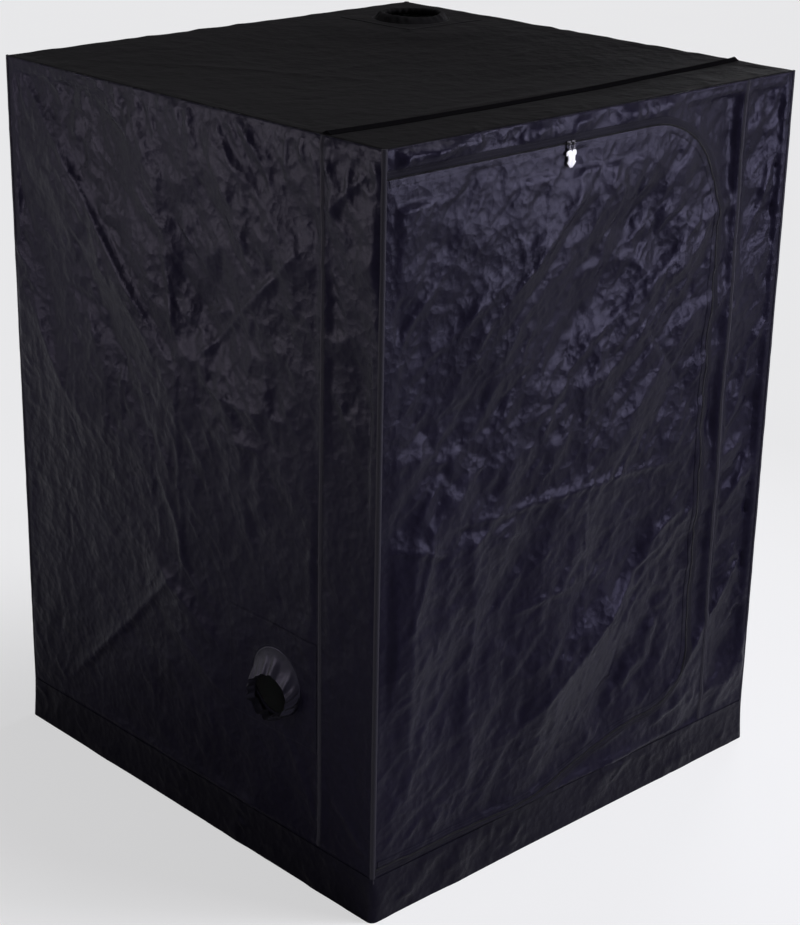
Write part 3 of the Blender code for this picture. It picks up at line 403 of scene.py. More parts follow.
LEFT_SWELL_SHARES = [
    ([(0.960, 0.960), (0.765, 0.800), (0.600, 0.680), (0.500, 0.600)], 0.8, 0.9, 0.4),
    ([(0.640, 0.960), (0.560, 0.860), (0.520, 0.740)], 0.6, 0.9, 0.3),
    ([(0.420, 0.980), (0.340, 0.860), (0.300, 0.780)], 0.7, 0.8, -0.2),
    ([(0.200, 0.960), (0.140, 0.860), (0.100, 0.760)], -0.6, 0.8, 0.0),
    ([(0.640, 0.400), (0.470, 0.300), (0.360, 0.200)], 0.7, 0.8, 0.2),
]
ROOF_FOLD_SHARES = [
    ([(0.020, 0.150), (0.300, 0.170), (0.620, 0.150), (0.960, 0.080)], 0.5, 0.9, 0.3),
    ([(0.150, 0.620), (0.400, 0.560), (0.700, 0.600), (0.940, 0.560)], 0.4, 1.2, 0.0),
    ([(0.080, 0.880), (0.260, 0.700), (0.420, 0.420)], 0.4, 1.0, 0.3),
]
FOLD_RISE = 0.0090
FOLD_WIDTH = 0.055
ROOF_FOLD_RISE = 0.008
SWELL_RISE = 0.016
SWELL_WIDTH = 0.130

# Short folds strewn on each face: how many, two corners as shares, lean and spread in degrees,
# length, rise, width, and whether the lively cloth gets more of them
FRONT_STREWN = [
    (110, ((0.02, 0.08), (0.98, 0.97)), 43, 10, 0.18, 0.0040, 0.022, True),
    (420, ((0.00, 0.08), (0.98, 0.95)), 45, 15, 0.09, 0.0029, 0.014, True),
    (110, ((0.02, 0.45), (0.80, 0.93)), 46, 10, 0.14, 0.0038, 0.016, False),
    (220, ((0.02, 0.08), (0.98, 0.95)), -15, 40, 0.06, 0.0025, 0.012, True),
    (30, ((0.02, 0.07), (0.50, 0.36)), 82, 8, 0.26, 0.0035, 0.030, False),
    (60, ((0.85, 0.10), (0.98, 0.97)), 20, 40, 0.12, 0.0060, 0.028, False),
    (160, ((0.02, 0.08), (0.85, 0.50)), 40, 30, 0.08, 0.0040, 0.014, False),
]
LEFT_STREWN = [
    (100, ((0.03, 0.45), (0.97, 0.97)), 46, 14, 0.18, 0.0036, 0.022, True),
    (300, ((0.02, 0.35), (0.97, 0.97)), 40, 30, 0.08, 0.0027, 0.014, True),
    (160, ((0.02, 0.30), (0.97, 0.97)), -10, 40, 0.06, 0.0024, 0.012, True),
    (26, ((0.55, 0.10), (0.97, 0.60)), 86, 7, 0.30, 0.0024, 0.022, False),
    (90, ((0.04, 0.15), (0.70, 0.66)), 5, 35, 0.07, 0.0034, 0.013, False),
    (60, ((0.40, 0.08), (0.97, 0.60)), 70, 25, 0.12, 0.0030, 0.016, False),
]
PLAIN_STREWN = [
    (110, ((0.03, 0.08), (0.97, 0.97)), 50, 25, 0.18, 0.0040, 0.024, True),
    (260, ((0.03, 0.08), (0.97, 0.97)), 45, 35, 0.08, 0.0030, 0.015, True),
]
ROOF_STREWN = [(60, ((0.03, 0.04), (0.97, 0.96)), 10, 30, 0.22, 0.0022, 0.030, False)]
BAND_STREWN = [(60, ((0.02, 0.10), (0.98, 0.90)), 15, 35, 0.09, 0.0036, 0.016, False)]

# Gathers that run off a seam: its line, their length, rise, width, lean in degrees and spacing
FRONT_PUCKERS = [
    (TOP_GATHERS, 0.060, 0.0045, 0.014, -70, 0.034),
    (FRONT_SEAM_GATHERS, 0.045, 0.0025, 0.012, 20, 0.060),
    (SIDE_GATHERS, -0.070, 0.0040, 0.020, 30, 0.060),
]
LEFT_PUCKERS = [
    (TOP_GATHERS, -0.150, 0.0065, 0.020, 62, 0.055),
    (TOP_GATHERS, 0.060, 0.0040, 0.013, -80, 0.040),
    (LEFT_SEAM_GATHERS, 0.040, 0.0025, 0.012, 10, 0.060),
    (LEFT_SEAM_GATHERS, -0.040, 0.0025, 0.012, -10, 0.060),
    (SIDE_GATHERS, -0.060, 0.0035, 0.018, 30, 0.060),
]
PLAIN_PUCKERS = [(TOP_GATHERS, -0.120, 0.0060, 0.020, 70, 0.050)]
ROOF_PUCKERS = [
    ([(0.04, 0.012), (1.46, 0.012)], 0.070, 0.0030, 0.016, 78, 0.045),
    ([(0.012, 0.06), (0.012, 1.44)], 0.070, 0.0030, 0.016, 10, 0.050),
]


def on_front(along, up, out):
    return np.stack([along - HALF_WIDTH, -HALF_DEPTH - out, up + 0 * out], -1)


def on_back(along, up, out):
    return np.stack([along - HALF_WIDTH, HALF_DEPTH + out, up + 0 * out], -1)


def on_left(along, up, out):
    return np.stack([-HALF_WIDTH - out, along - HALF_DEPTH, up + 0 * out], -1)


def on_right(along, up, out):
    return np.stack([HALF_WIDTH + out, along - HALF_DEPTH, up + 0 * out], -1)


def on_roof(along, back, out):
    return np.stack([along - HALF_WIDTH, back - HALF_DEPTH, HEIGHT + out], -1)


def on_floor(along, back, out):
    return np.stack([along - HALF_WIDTH, back - HALF_DEPTH, -out], -1)


def round_off(points):
    """Rolls the sharp upright and top edges of the box over a small radius."""
    inner = np.array([HALF_WIDTH, HALF_DEPTH, HEIGHT]) - EDGE_ROUND
    low = np.array([-inner[0], -inner[1], -HEIGHT])
    held = np.clip(points, low, inner)
    beyond = points - held
    length = np.linalg.norm(beyond, axis=-1, keepdims=True)
    reach = np.abs(beyond).max(axis=-1, keepdims=True)
    return np.where(length > 0, held + beyond * reach / np.maximum(length, CLEARANCE), points)


def smooth_step(value):
    value = np.clip(value, 0, 1)
    return value * value * (3 - 2 * value)


def resampled(line, step, closed=False):
    """The same line with evenly spaced points."""
    line = np.asarray(line, float)
    if closed:
        line = np.vstack([line, line[:1]])
    runs = np.linalg.norm(np.diff(line, axis=0), axis=1)
    walked = np.concatenate([[0], np.cumsum(runs)])
    count = max(2, math.ceil(walked[-1] / step))
    places = np.linspace(0, walked[-1], count + 1)
    if closed:
        places = places[:-1]
    return np.stack([np.interp(places, walked, line[:, axis]) for axis in range(line.shape[1])], 1)


def softened(line, rounds=2):
    """A broken line with its corners cut, so that it runs smoothly."""
    line = np.asarray(line, float)
    for _ in range(rounds):
        first = line[:-1] * 0.75 + line[1:] * 0.25
        second = line[:-1] * 0.25 + line[1:] * 0.75
        line = np.vstack([line[:1], np.stack([first, second], 1).reshape(-1, line.shape[1]), line[-1:]])
    return line


def nearest_on_line(line, along, up):
    """Distance to a broken line, the share of its length reached there, and the side, -1 or 1."""
    best = np.full(along.shape, np.inf)
    share = np.zeros(along.shape)
    side = np.ones(along.shape)
    runs = np.linalg.norm(np.diff(line, axis=0), axis=1)
    total = max(runs.sum(), CLEARANCE)
    walked = 0
    for first, second, run in zip(line, line[1:], runs):
        step = (second - first) / max(run * run, CLEARANCE * CLEARANCE)
        part = np.clip((along - first[0]) * step[0] + (up - first[1]) * step[1], 0, 1)
        off_along = along - first[0] - part * (second[0] - first[0])
        off_up = up - first[1] - part * (second[1] - first[1])
        distance = np.hypot(off_along, off_up)
        nearer = distance < best
        best = np.where(nearer, distance, best)
        share = np.where(nearer, (walked + part * run) / total, share)
        turn = (second[0] - first[0]) * off_up - (second[1] - first[1]) * off_along
        side = np.where(nearer, np.where(turn < 0, -1, 1), side)
        walked += run
    return best, share, side


def inside(loop, along, up):
    """Whether points lie inside a closed loop."""
    result = np.zeros(along.shape, bool)
    for first, second in zip(loop, np.roll(loop, -1, axis=0)):
        rise = second[1] - first[1]
        if rise == 0:
            continue
        between = (first[1] > up) != (second[1] > up)
        crossing = first[0] + (up - first[1]) * (second[0] - first[0]) / rise
        result ^= between & (along < crossing)
    return result


def rectangle(left, low, right, high):
    return np.array([(left, low), (right, low), (right, high), (left, high)], float)


def circle(centre, radius, sides):
    angle = np.arange(sides) * math.tau / sides
    return np.stack([centre[0] + radius * np.cos(angle), centre[1] + radius * np.sin(angle)], 1)


def shifted(line, distance):
    """A line moved sideways, to its left where the distance is above zero."""
    before = np.vstack([line[:1], line[:-1]])
    after = np.vstack([line[1:], line[-1:]])
    run = after - before
    run /= np.linalg.norm(run, axis=1, keepdims=True)
    return line + np.stack([-run[:, 1], run[:, 0]], 1) * distance


def zip_line():
    """Centre line of the zip, from the top left round to the bottom left."""
    top = np.array([ZIP_RIGHT - ZIP_TOP_RADIUS, ZIP_TOP - ZIP_TOP_RADIUS])
    low = np.array([ZIP_RIGHT - ZIP_LOW_RADIUS, ZIP_LOW_CORNER_HEIGHT + ZIP_LOW_RADIUS])
    turn = np.radians(np.linspace(90, 0, 40))[:, None]
    upper = top + ZIP_TOP_RADIUS * np.hstack([np.cos(turn), np.sin(turn)])
    lower = low + ZIP_LOW_RADIUS * np.hstack([np.cos(-turn[::-1]), np.sin(-turn[::-1])])
    share = np.linspace(0, 1, 30)[1:]
    fall = (ZIP_LOW_CORNER_HEIGHT - ZIP_SILL) * smooth_step(share)
    slope = np.stack([low[0] - ZIP_SLOPE_LENGTH * share, ZIP_LOW_CORNER_HEIGHT - fall], 1)
    line = np.vstack([[(ZIP_LEFT, ZIP_TOP)], upper, lower, slope, [(ZIP_LEFT, ZIP_SILL)]])
    return resampled(line, FINE_STEP)


def zip_line_moved(distance, left=ZIP_LEFT):
    line = shifted(zip_line(), distance)
    line[0, 0] = left
    line[-1, 0] = left
    return line


def beside_sum(grid):
    """At each place of a grid, the sum of its four neighbours."""
    grid = np.pad(grid, 1, mode="edge")
    return grid[:-2, 1:-1] + grid[2:, 1:-1] + grid[1:-1, :-2] + grid[1:-1, 2:]


class Relief:
    """Heights of a face's cloth on a raster, which its panels, tapes and stitches all read."""

    def __init__(self, width, height, seed):
        self.size = (width, height)
        columns = np.arange(math.ceil(width / RASTER) + 1) * RASTER
        rows = np.arange(math.ceil(height / RASTER) + 1) * RASTER
        self.along, self.up = np.meshgrid(columns, rows)
        self.heights = np.zeros_like(self.along)
        self.wear = np.zeros_like(self.along)
        self.random = np.random.default_rng(seed)

    def read(self, grid, along, up):
        x = np.clip(along / RASTER, 0, grid.shape[1] - 1)
        y = np.clip(up / RASTER, 0, grid.shape[0] - 1)
        column = np.minimum(np.floor(x).astype(int), grid.shape[1] - 2)
        row = np.minimum(np.floor(y).astype(int), grid.shape[0] - 2)
        x = x - column
        y = y - row
        low = grid[row, column] * (1 - x) + grid[row, column + 1] * x
        high = grid[row + 1, column] * (1 - x) + grid[row + 1, column + 1] * x
        return low * (1 - y) + high * y

    def at(self, along, up):
        return self.read(self.heights, along, up)

    def window(self, low, high):
        left = max(0, int(low[0] / RASTER))
        bottom = max(0, int(low[1] / RASTER))
        right = max(0, int(high[0] / RASTER) + 2)
        top = max(0, int(high[1] / RASTER) + 2)
        return slice(bottom, top), slice(left, right)

    def crumple(self, layers, **weights):
        """Random facets, like those of cloth that was packed away, longer along their lean.

        A weight says where a layer's cloth is lively. Layers without one crumple all of it.
        """
        for spacing, rise, stretch, lean, where in layers:
            self.heights += self.facets(spacing, rise, stretch, lean) * weights.get(where, 1.0)

    def patches(self, spacing, calm, lively):
        """A smooth share over the face, from calm to lively cloth."""
        share = smooth_step(self.facets(spacing, 1.0, 1.0, 0) * 0.8 + 0.5)
        return calm + (lively - calm) * share

    def facets(self, spacing, rise, stretch, lean):
        reach = math.hypot(*self.size) / 2
        many = math.ceil(reach / spacing)
        few = math.ceil(reach / (spacing * stretch))
        p, q = np.meshgrid(np.arange(-few, few + 1.0), np.arange(-many, many + 1.0))
        p = (p + self.random.uniform(-0.45, 0.45, p.shape)).ravel()
        q = (q + self.random.uniform(-0.45, 0.45, q.shape)).ravel()
        rises = self.random.uniform(-rise, rise, p.shape)
        flat = [Vector(pair) for pair in np.stack([p, q], 1).tolist()]
        _, _, triangles, origins, *_ = delaunay_2d_cdt(flat, [], [], 0, CLEARANCE)
        p = p * spacing * stretch
        q = q * spacing
        turn = math.radians(lean)
        x = self.size[0] / 2 + p * math.cos(turn) - q * math.sin(turn)
        y = self.size[1] / 2 + p * math.sin(turn) + q * math.cos(turn)
        layer = np.zeros_like(self.heights)
        for triangle in triangles:
            corners = [origins[index][0] for index in triangle]
            self.fill(layer, x[corners], y[corners], rises[corners])
        return layer

    def fill(self, layer, x, y, values):
        rows, columns = self.window((x.min(), y.min()), (x.max(), y.max()))
        along = self.along[rows, columns]
        if along.size == 0 or x.max() < 0 or y.max() < 0:
            return
        up = self.up[rows, columns]
        area = (y[1] - y[2]) * (x[0] - x[2]) + (x[2] - x[1]) * (y[0] - y[2])
        a = ((y[1] - y[2]) * (along - x[2]) + (x[2] - x[1]) * (up - y[2])) / area
        b = ((y[2] - y[0]) * (along - x[2]) + (x[0] - x[2]) * (up - y[2])) / area
        c = 1 - a - b
        within = (a >= 0) & (b >= 0) & (c >= 0)
        layer[rows, columns][within] = (a * values[0] + b * values[1] + c * values[2])[within]

    def crease(self, line, rise, width, slant=0.0, power=2.0):
        """A fold along a line: a ridge, or a valley where its rise is below zero."""
        line = softened(line)
        rows, columns = self.window(line.min(0) - 2 * width, line.max(0) + 2 * width)
        along = self.along[rows, columns]
        if along.size == 0:
            return
        distance, share, side = nearest_on_line(line, along, self.up[rows, columns])
        reach = width * (1 + slant * side)
        taper = np.sin(math.pi * np.clip(share, 0, 1)) ** 0.6
        self.heights[rows, columns] += rise * taper * np.clip(1 - distance / reach, 0, 1) ** power

    def folds(self, shares, rise, width, power=2.0):
        """Folds given one by one, each a line in shares of the face, with its rise, width and slant."""
        for line, rise_share, width_share, slant in shares:
            points = np.array(line) * np.array(self.size)
            self.crease(points, rise * rise_share, width * width_share, slant, power)

    def strew(self, layers, weight=None):
        """Short folds, fewer where the weight is low."""
        for *layer, is_weighted in layers:
            self.scatter(*layer, weight if is_weighted else None)

    def scatter(self, count, area, lean, spread, length, rise, width, weight):
        """Short folds over an area given as shares of the face."""
        low = np.array(area[0]) * np.array(self.size)
        high = np.array(area[1]) * np.array(self.size)
        for _ in range(count):
            start = self.random.uniform(low, high)
            turn = math.radians(self.random.normal(lean, spread))
            run = length * self.random.uniform(0.4, 1.3)
            ahead = np.array([math.cos(turn), math.sin(turn)])
            across = np.array([-ahead[1], ahead[0]])
            bend = run * self.random.normal(0, 0.10)
            line = [start, start + ahead * run / 2 + across * bend, start + ahead * run]
            sign = 1 if self.random.random() < OUTWARD_SHARE else -1
            height = sign * rise * self.random.uniform(0.35, 1.0)
            breadth = width * self.random.uniform(0.6, 1.4)
            slant = self.random.uniform(-0.5, 0.5)
            if weight is None or self.random.random() < self.read(weight, start[0], start[1]):
                self.crease(line, height, breadth, slant)

    def pucker(self, layers):
        for layer in layers:
            self.gather(*layer)

    def gather(self, line, length, rise, width, lean, spacing):
        """Puckers that run off a seam."""
        for place in resampled(line, spacing):
            start = place + self.random.normal(0, spacing / 3, 2)
            turn = math.radians(self.random.normal(lean, 14))
            run = length * self.random.uniform(0.3, 1.2)
            end = start + run * np.array([math.cos(turn), math.sin(turn)])
            middle = (start + end) / 2 + self.random.normal(0, abs(run) / 14, 2)
            breadth = width * self.random.uniform(0.6, 1.3)
            self.crease([start, middle, end], rise * self.random.uniform(0.3, 1.0), breadth)

    def fade(self, distance, flat, fade, rest=0.0):
        """Calms the cloth near a seam, down to a share that rests."""
        self.heights *= rest + (1 - rest) * smooth_step((distance - flat) / fade)

    def hold_below(self, limit, share):
        """Presses the cloth down under a moving piece, to a limit, where the share is one."""
        over = np.maximum(self.heights - limit, 0)
        self.heights -= over * share

    def edge_distance(self):
        width, height = self.size
        sides = np.minimum(self.along, width - self.along)
        return np.minimum(sides, np.minimum(self.up, height - self.up))

    def finish(self, inward):
        """Softens the folds a little, keeps clear of the poles and marks the ridges, where the cloth's colour
        is painted lighter: partly worn coating, partly a painted highlight.
        """
        grid = (beside_sum(self.heights) + 4 * self.heights) / 8
        beside_poles = 1 - smooth_step((self.edge_distance() - POLE_ZONE) / POLE_ZONE)
        grid = np.maximum(grid, -inward * beside_poles - (1 - beside_poles) * HEIGHT)
        self.heights = grid
        # The ridges' share. The cloth's colour is painted lighter there, partly as worn coating and partly as
        # a painted highlight.
        bend = beside_sum(grid) - 4 * grid
        self.wear = np.clip(-bend / RASTER / 0.20, 0, 1)
        return self


def edge_wave(edge, along, length):
    """How the cloth wavers out along one of the top edges, alike on the wall and on the roof."""
    random = np.random.default_rng(WAVE_SEEDS[edge])
    places = np.linspace(0, length, WAVE_COUNT)
    swells = random.uniform(-0.35, 1.0, WAVE_COUNT) * np.sin(math.pi * places / length).clip(0) ** 0.4
    return EDGE_WAVE * np.interp(along, places, swells)


def add_wave(relief, edge, along, distance, length):
    """Lays an edge's wave on a face, out to a short distance from the edge."""
    near = 1 - smooth_step(distance / EDGE_WAVE_REACH)
    relief.heights += edge_wave(edge, along, length) * near


def calm_edges(relief, side):
    """Flat at a wall's edges, with the top edge's wave, and flat behind the base band."""
    relief.fade(relief.edge_distance(), SEAM_CALM, EDGE_CALM_REACH)
    add_wave(relief, side, relief.along, HEIGHT - relief.up, relief.size[0])
    relief.fade(relief.up, BAND_HEIGHT + BAND_CALM, BAND_CALM_REACH)


def front_relief():
    """The front: slanting creases over the door and a sagging fold above the base band."""
    relief = Relief(WIDTH, HEIGHT, 11)
    low_left = smooth_step((LIVELY_FOOT - relief.up) / QUIET_FADE)
    low_left = low_left * smooth_step((CALM_CORNER_END - relief.along) / QUIET_FADE)
    lively = relief.patches(PATCH_SPACING, 0.50, 1.40) * (1 - 0.35 * low_left)
    relief.crumple(FRONT_CRUMPLES, lively=lively)
    relief.strew(FRONT_STREWN, lively)
    relief.folds(FRONT_SWELL_SHARES, SWELL_RISE, SWELL_WIDTH, 1.3)
    relief.folds(FRONT_FOLD_SHARES, FOLD_RISE, FOLD_WIDTH)
    distance, _, _ = nearest_on_line(zip_line(), relief.along, relief.up)
    on_top = smooth_step((relief.up - ZIP_TOP + TAPE_WIDTH * 3) / TAPE_WIDTH)
    on_top = on_top * (relief.along < ZIP_RIGHT - TAPE_WIDTH)
    relief.fade(distance, TAPE_WIDTH * 0.8, TAPE_WIDTH * 1.6, ZIP_CALM_SHARE)
    relief.fade(np.abs(relief.along - FRONT_SEAM), SEAM_CALM, SEAM_CALM_REACH, CALM_SHARE)
    relief.pucker(FRONT_PUCKERS)
    relief.crease(FRONT_FOOT_FOLD, FRONT_FOOT_RISE, FRONT_FOOT_WIDTH, 0.3)
    relief.fade(relief.along, HINGE_BEND, HINGE_BEND, HINGE_CALM_SHARE)
    relief.heights *= 1 - on_top * (1 - smooth_step((distance - SLIDER_ROOM) / TAPE_WIDTH))
    beside_top_run = smooth_step(1 - np.abs(relief.up - PULL_PATH_HEIGHT) / PULL_PATH_REACH)
    beside_top_run = beside_top_run * (relief.along < ZIP_RIGHT)
    relief.hold_below(PULL_ROOM, smooth_step(beside_top_run * 3))
    calm_edges(relief, "front")
    return relief.finish(POLE_ROOM)


def left_relief():
    """The left wall: long drag lines from the top back corner and quieter cloth low down."""
    relief = Relief(DEPTH, HEIGHT, 23)
    ridge = np.array(LEFT_FOLD_SHARES[0][0]) * np.array([DEPTH, HEIGHT])
    off_ridge = smooth_step((nearest_on_line(ridge, relief.along, relief.up)[0] - RIDGE_HALF) / RIDGE_REACH)
    high_up = smooth_step((relief.up - LIVELY_FOOT) / LIVELY_RISE)
    back_edge = QUIET_ALONG + QUIET_LEAN_SHARE * (relief.up - QUIET_MIDDLE)
    far_back = smooth_step((relief.along - back_edge) / QUIET_FADE)
    near_port = smooth_step((PORT_SIDE_TOP - relief.up) / PORT_SIDE_FADE)
    near_port = near_port * smooth_step((PORT_SIDE_END - relief.along) / QUIET_FADE)
    lively = relief.patches(PATCH_SPACING, 0.35, 1.25) * (0.45 + 0.55 * high_up) * (1 - 0.55 * far_back)
    lively *= 0.3 + 0.7 * off_ridge
    large = 0.45 + 0.55 * high_up
    middling = 0.30 + 0.70 * high_up + 0.3 * near_port
    relief.crumple(LEFT_CRUMPLES, large=large, middling=middling, lively=lively)
    relief.strew(LEFT_STREWN, lively)
    relief.folds(LEFT_SWELL_SHARES, SWELL_RISE, SWELL_WIDTH, 1.3)
    relief.folds(LEFT_FOLD_SHARES, FOLD_RISE, FOLD_WIDTH)
    relief.fade(np.abs(relief.along - LEFT_SEAM), SEAM_CALM, SEAM_CALM_REACH, LEFT_CALM_SHARE)
    relief.pucker(LEFT_PUCKERS)
    away = np.hypot(relief.along - PORT_ALONG, relief.up - PORT_UP)
    relief.fade(away, PORT_RADIUS + PORT_FLANGE, PORT_CALM_REACH)
    relief.crease(FOOT_FOLD, FOOT_RISE, FOOT_WIDTH, 0.3)
    calm_edges(relief, "left")
    return relief.finish(POLE_ROOM)


def plain_wall_relief(side, width, seed):
    """A wall away from the door, creased from its packing."""
    relief = Relief(width, HEIGHT, seed)
    lively = relief.patches(PATCH_SPACING, 0.40, 1.25)
    relief.crumple(PLAIN_CRUMPLES, lively=lively)
    relief.strew(PLAIN_STREWN, lively)
    for fold in PACKING_FOLDS:
        relief.crease(*fold)
    relief.pucker(PLAIN_PUCKERS)
    relief.crease(FOOT_FOLD, FOOT_RISE, FOOT_WIDTH, 0.3)
    calm_edges(relief, side)
    return relief.finish(POLE_ROOM)


def roof_relief():
    """The roof hangs a little between its rails, but lies flat round the duct port."""
    relief = Relief(WIDTH, DEPTH, 37)
    relief.crumple(ROOF_CRUMPLES)
    relief.strew(ROOF_STREWN)
    relief.folds(ROOF_FOLD_SHARES, ROOF_FOLD_RISE, FOLD_WIDTH)
    relief.fade(np.abs(relief.up - ROOF_SEAM), SEAM_CALM, SEAM_CALM_REACH, CALM_SHARE)
    relief.pucker(ROOF_PUCKERS)
    sag = ROOF_SAG * np.sin(math.pi * relief.along / WIDTH).clip(0)
    sag = sag * np.sin(math.pi * relief.up / DEPTH).clip(0)
    away = np.hypot(relief.along - ROOF_PORT_ALONG, relief.up - ROOF_PORT_BACK)
    relief.fade(away, ROOF_PORT_RADIUS + PORT_FLANGE, PORT_CALM_REACH)
    relief.fade(relief.edge_distance(), SEAM_CALM, ROOF_EDGE_CALM_REACH)
    relief.heights -= sag * smooth_step((away - ROOF_PLATEAU) / ROOF_PLATEAU)
    add_wave(relief, "front", relief.along, relief.up, WIDTH)
    add_wave(relief, "back", relief.along, DEPTH - relief.up, WIDTH)
    add_wave(relief, "left", relief.up, relief.along, DEPTH)
    add_wave(relief, "right", relief.up, WIDTH - relief.along, DEPTH)
    return relief.finish(POLE_ROOM)


def floor_relief():
    relief = Relief(WIDTH, DEPTH, 41)
    relief.crumple(FLOOR_CRUMPLES)
    relief.heights = np.clip(relief.heights, -CLOTH, 0)
    return relief.finish(POLE_ROOM)


def band_relief(length, seed):
    """A base band: crumpled, flat at its sewn top edge and flared at the floor."""
    relief = Relief(length, BAND_HEIGHT, seed)
    relief.crumple(BAND_CRUMPLES)
    relief.strew(BAND_STREWN)
    seam = [(BAND_END, BAND_HEIGHT), (length - BAND_END, BAND_HEIGHT)]
    relief.gather(seam, BAND_PUCKER_LENGTH, BAND_PUCKER_RISE, BAND_PUCKER_WIDTH, -85, BAND_PUCKER_SPACING)
    relief.heights = np.maximum(relief.heights, -BAND_DENT)
    relief.fade(BAND_HEIGHT - relief.up, BAND_CALM, BAND_TOP_REACH)
    relief.fade(relief.up, 0.0, BAND_FOOT_REACH, BAND_FOOT_SHARE)
    relief.fade(np.minimum(relief.along, length - relief.along), BAND_END_CALM, EDGE_CALM_REACH)
    relief.wear = np.zeros_like(relief.heights)
    return relief


class Socket:
    """A node's output that takes part in Python sums."""

    def __init__(self, graph, source):
        self.graph = graph
        self.source = source

    def __add__(self, other):
        return self.graph.maths("ADD", self, other)

    def __mul__(self, other):
        return self.graph.maths("MULTIPLY", self, other)

    def __sub__(self, other):
        return self.graph.maths("SUBTRACT", self, other)

    def __rsub__(self, other):
        return self.graph.maths("SUBTRACT", other, self)

    __radd__ = __add__
    __rmul__ = __mul__


class Finish:
    """A material whose nodes are written as expressions."""

    def __init__(self, name, **uniform):
        self.material = bpy.data.materials.new(name)
        self.material.use_nodes = True
        self.tree = self.material.node_tree
        self.shader = self.tree.nodes["Principled BSDF"]
        for key, value in uniform.items():
            self.shader.inputs[key.replace("_", " ").title().replace("Ior", "IOR")].default_value = value

    def node(self, kind, settings=None, inputs=None, output=0):
        """Adds a node: its settings first, then the values or links of its sockets."""
        made = self.tree.nodes.new(kind)
        for key, value in (settings or {}).items():
            setattr(made, key, value)
        for key, value in (inputs or {}).items():
            if isinstance(value, Socket):
                self.tree.links.new(value.source, made.inputs[key])
            else:
                made.inputs[key].default_value = value
        return Socket(self, made.outputs[output])

    def maths(self, operation, first, second=0.0):
        return self.node("ShaderNodeMath", {"operation": operation}, {0: first, 1: second})

    def limited(self, value):
        return self.node("ShaderNodeClamp", None, {"Value": value})

    def place(self):
        return self.node("ShaderNodeTexCoord", output="Object")

    def laid_flat(self):
        return self.node("ShaderNodeUVMap", {"uv_map": "cloth"})

    def parts(self, vector):
        node = self.tree.nodes.new("ShaderNodeSeparateXYZ")
        self.tree.links.new(vector.source, node.inputs[0])
        return [Socket(self, out) for out in node.outputs]

    def noise(self, scale, detail=3.0, roughness=0.5, vector=None, distortion=0.0, ridged=False):
        settings = {"noise_type": "RIDGED_MULTIFRACTAL"} if ridged else {}
        inputs = {
            "Vector": vector or self.place(),
            "Scale": scale,
            "Detail": detail,
            "Roughness": roughness,
            "Distortion": distortion,
        }
        return self.node("ShaderNodeTexNoise", settings, inputs)

    def cells(self, scale, vector):
        inputs = {"Vector": vector, "Scale": scale, "Randomness": 1.0}
        return self.node("ShaderNodeTexVoronoi", {"feature": "F1"}, inputs)

    def shaken(self, vector, scale, reach):
        """A place moved about by a little, so that cells come out uneven."""
        noise = self.node("ShaderNodeTexNoise", None, {"Vector": vector, "Scale": scale, "Detail": 3.0}, 1)
        pushed = self.node("ShaderNodeVectorMath", {"operation": "SCALE"}, {0: noise, "Scale": reach})
        return self.node("ShaderNodeVectorMath", {"operation": "ADD"}, {0: vector, 1: pushed})

    def attribute(self, name):
        return self.node("ShaderNodeAttribute", {"attribute_name": name}, output="Fac")

    def mixed(self, share, first, second):
        """A colour between two, by a share.

        The node takes its colours at sockets 6 and 7, and gives their mix at socket 2.
        """
        node = self.tree.nodes.new("ShaderNodeMix")
        node.data_type = "RGBA"
        for key, value in ((0, share), (6, first), (7, second)):
            if isinstance(value, Socket):
                self.tree.links.new(value.source, node.inputs[key])
            elif key:
                node.inputs[key].default_value = (*value, 1)
            else:
                node.inputs[key].default_value = value
        return Socket(self, node.outputs[2])

    def bump(self, height, distance, strength=1.0, under=None):
        inputs = {"Height": height, "Distance": distance, "Strength": strength}
        if under is not None:
            inputs["Normal"] = under
        return self.node("ShaderNodeBump", None, inputs)

    def feed(self, **links):
        for key, socket in links.items():
            self.tree.links.new(socket.source, self.shader.inputs[key.replace("_", " ").title()])
        return self.material


def weave(finish, pitch, vector):
    """Threads over and under each other, as a height from 0 to 1."""
    x, y, _ = finish.parts(vector)
    turn = math.tau / pitch
    across = finish.maths("SINE", x * turn)
    along = finish.maths("SINE", y * turn)
    return across * along * 0.5 + 0.5


def coated_cloth(name, dark, pale, rough, crinkle, shine):
    """Black oxford cloth with a coated, faintly shiny face."""
    finish = Finish(name, specular_ior_level=shine, specular_tint=(0.66, 0.61, 1.0, 1))
    place = finish.place()
    flat = finish.laid_flat()
    bleached = finish.noise(2.2, 4.0, 0.55, place)
    mottled = finish.noise(38.0, 4.0, 0.6, place)
    wear = finish.attribute("wear")
    folded = finish.noise(9.0, 5.0, 0.62, place, 0.6, ridged=True)
    fine = finish.noise(34.0, 4.0, 0.60, place, 0.5, ridged=True)
    crushed = finish.cells(17.0, finish.shaken(place, 7.0, CRUSH_SHAKE))
    crimped = finish.cells(44.0, finish.shaken(place, 18.0, CRIMP_SHAKE))
    # Lighter on the ridges: partly worn coating, partly a painted highlight along the creases.
    share = finish.limited(bleached * 0.9 + mottled * 0.5 - 0.45 + wear * 0.35)
    colour = finish.mixed(share, dark, pale)
    threads = weave(finish, THREAD_PITCH, flat)
    roughness = finish.limited(mottled * 0.16 + bleached * 0.10 + rough - 0.10 - wear * 0.06)
    normal = finish.bump(folded, crinkle, 0.9)
    normal = finish.bump(crushed, crinkle * 0.8, 0.9, normal)
    normal = finish.bump(crimped, crinkle * 0.45, 0.8, normal)
    normal = finish.bump(fine, crinkle * 0.30, 0.8, normal)
    normal = finish.bump(threads, THREAD_BUMP, 0.5, normal)
    return finish.feed(base_color=colour, roughness=roughness, normal=normal)


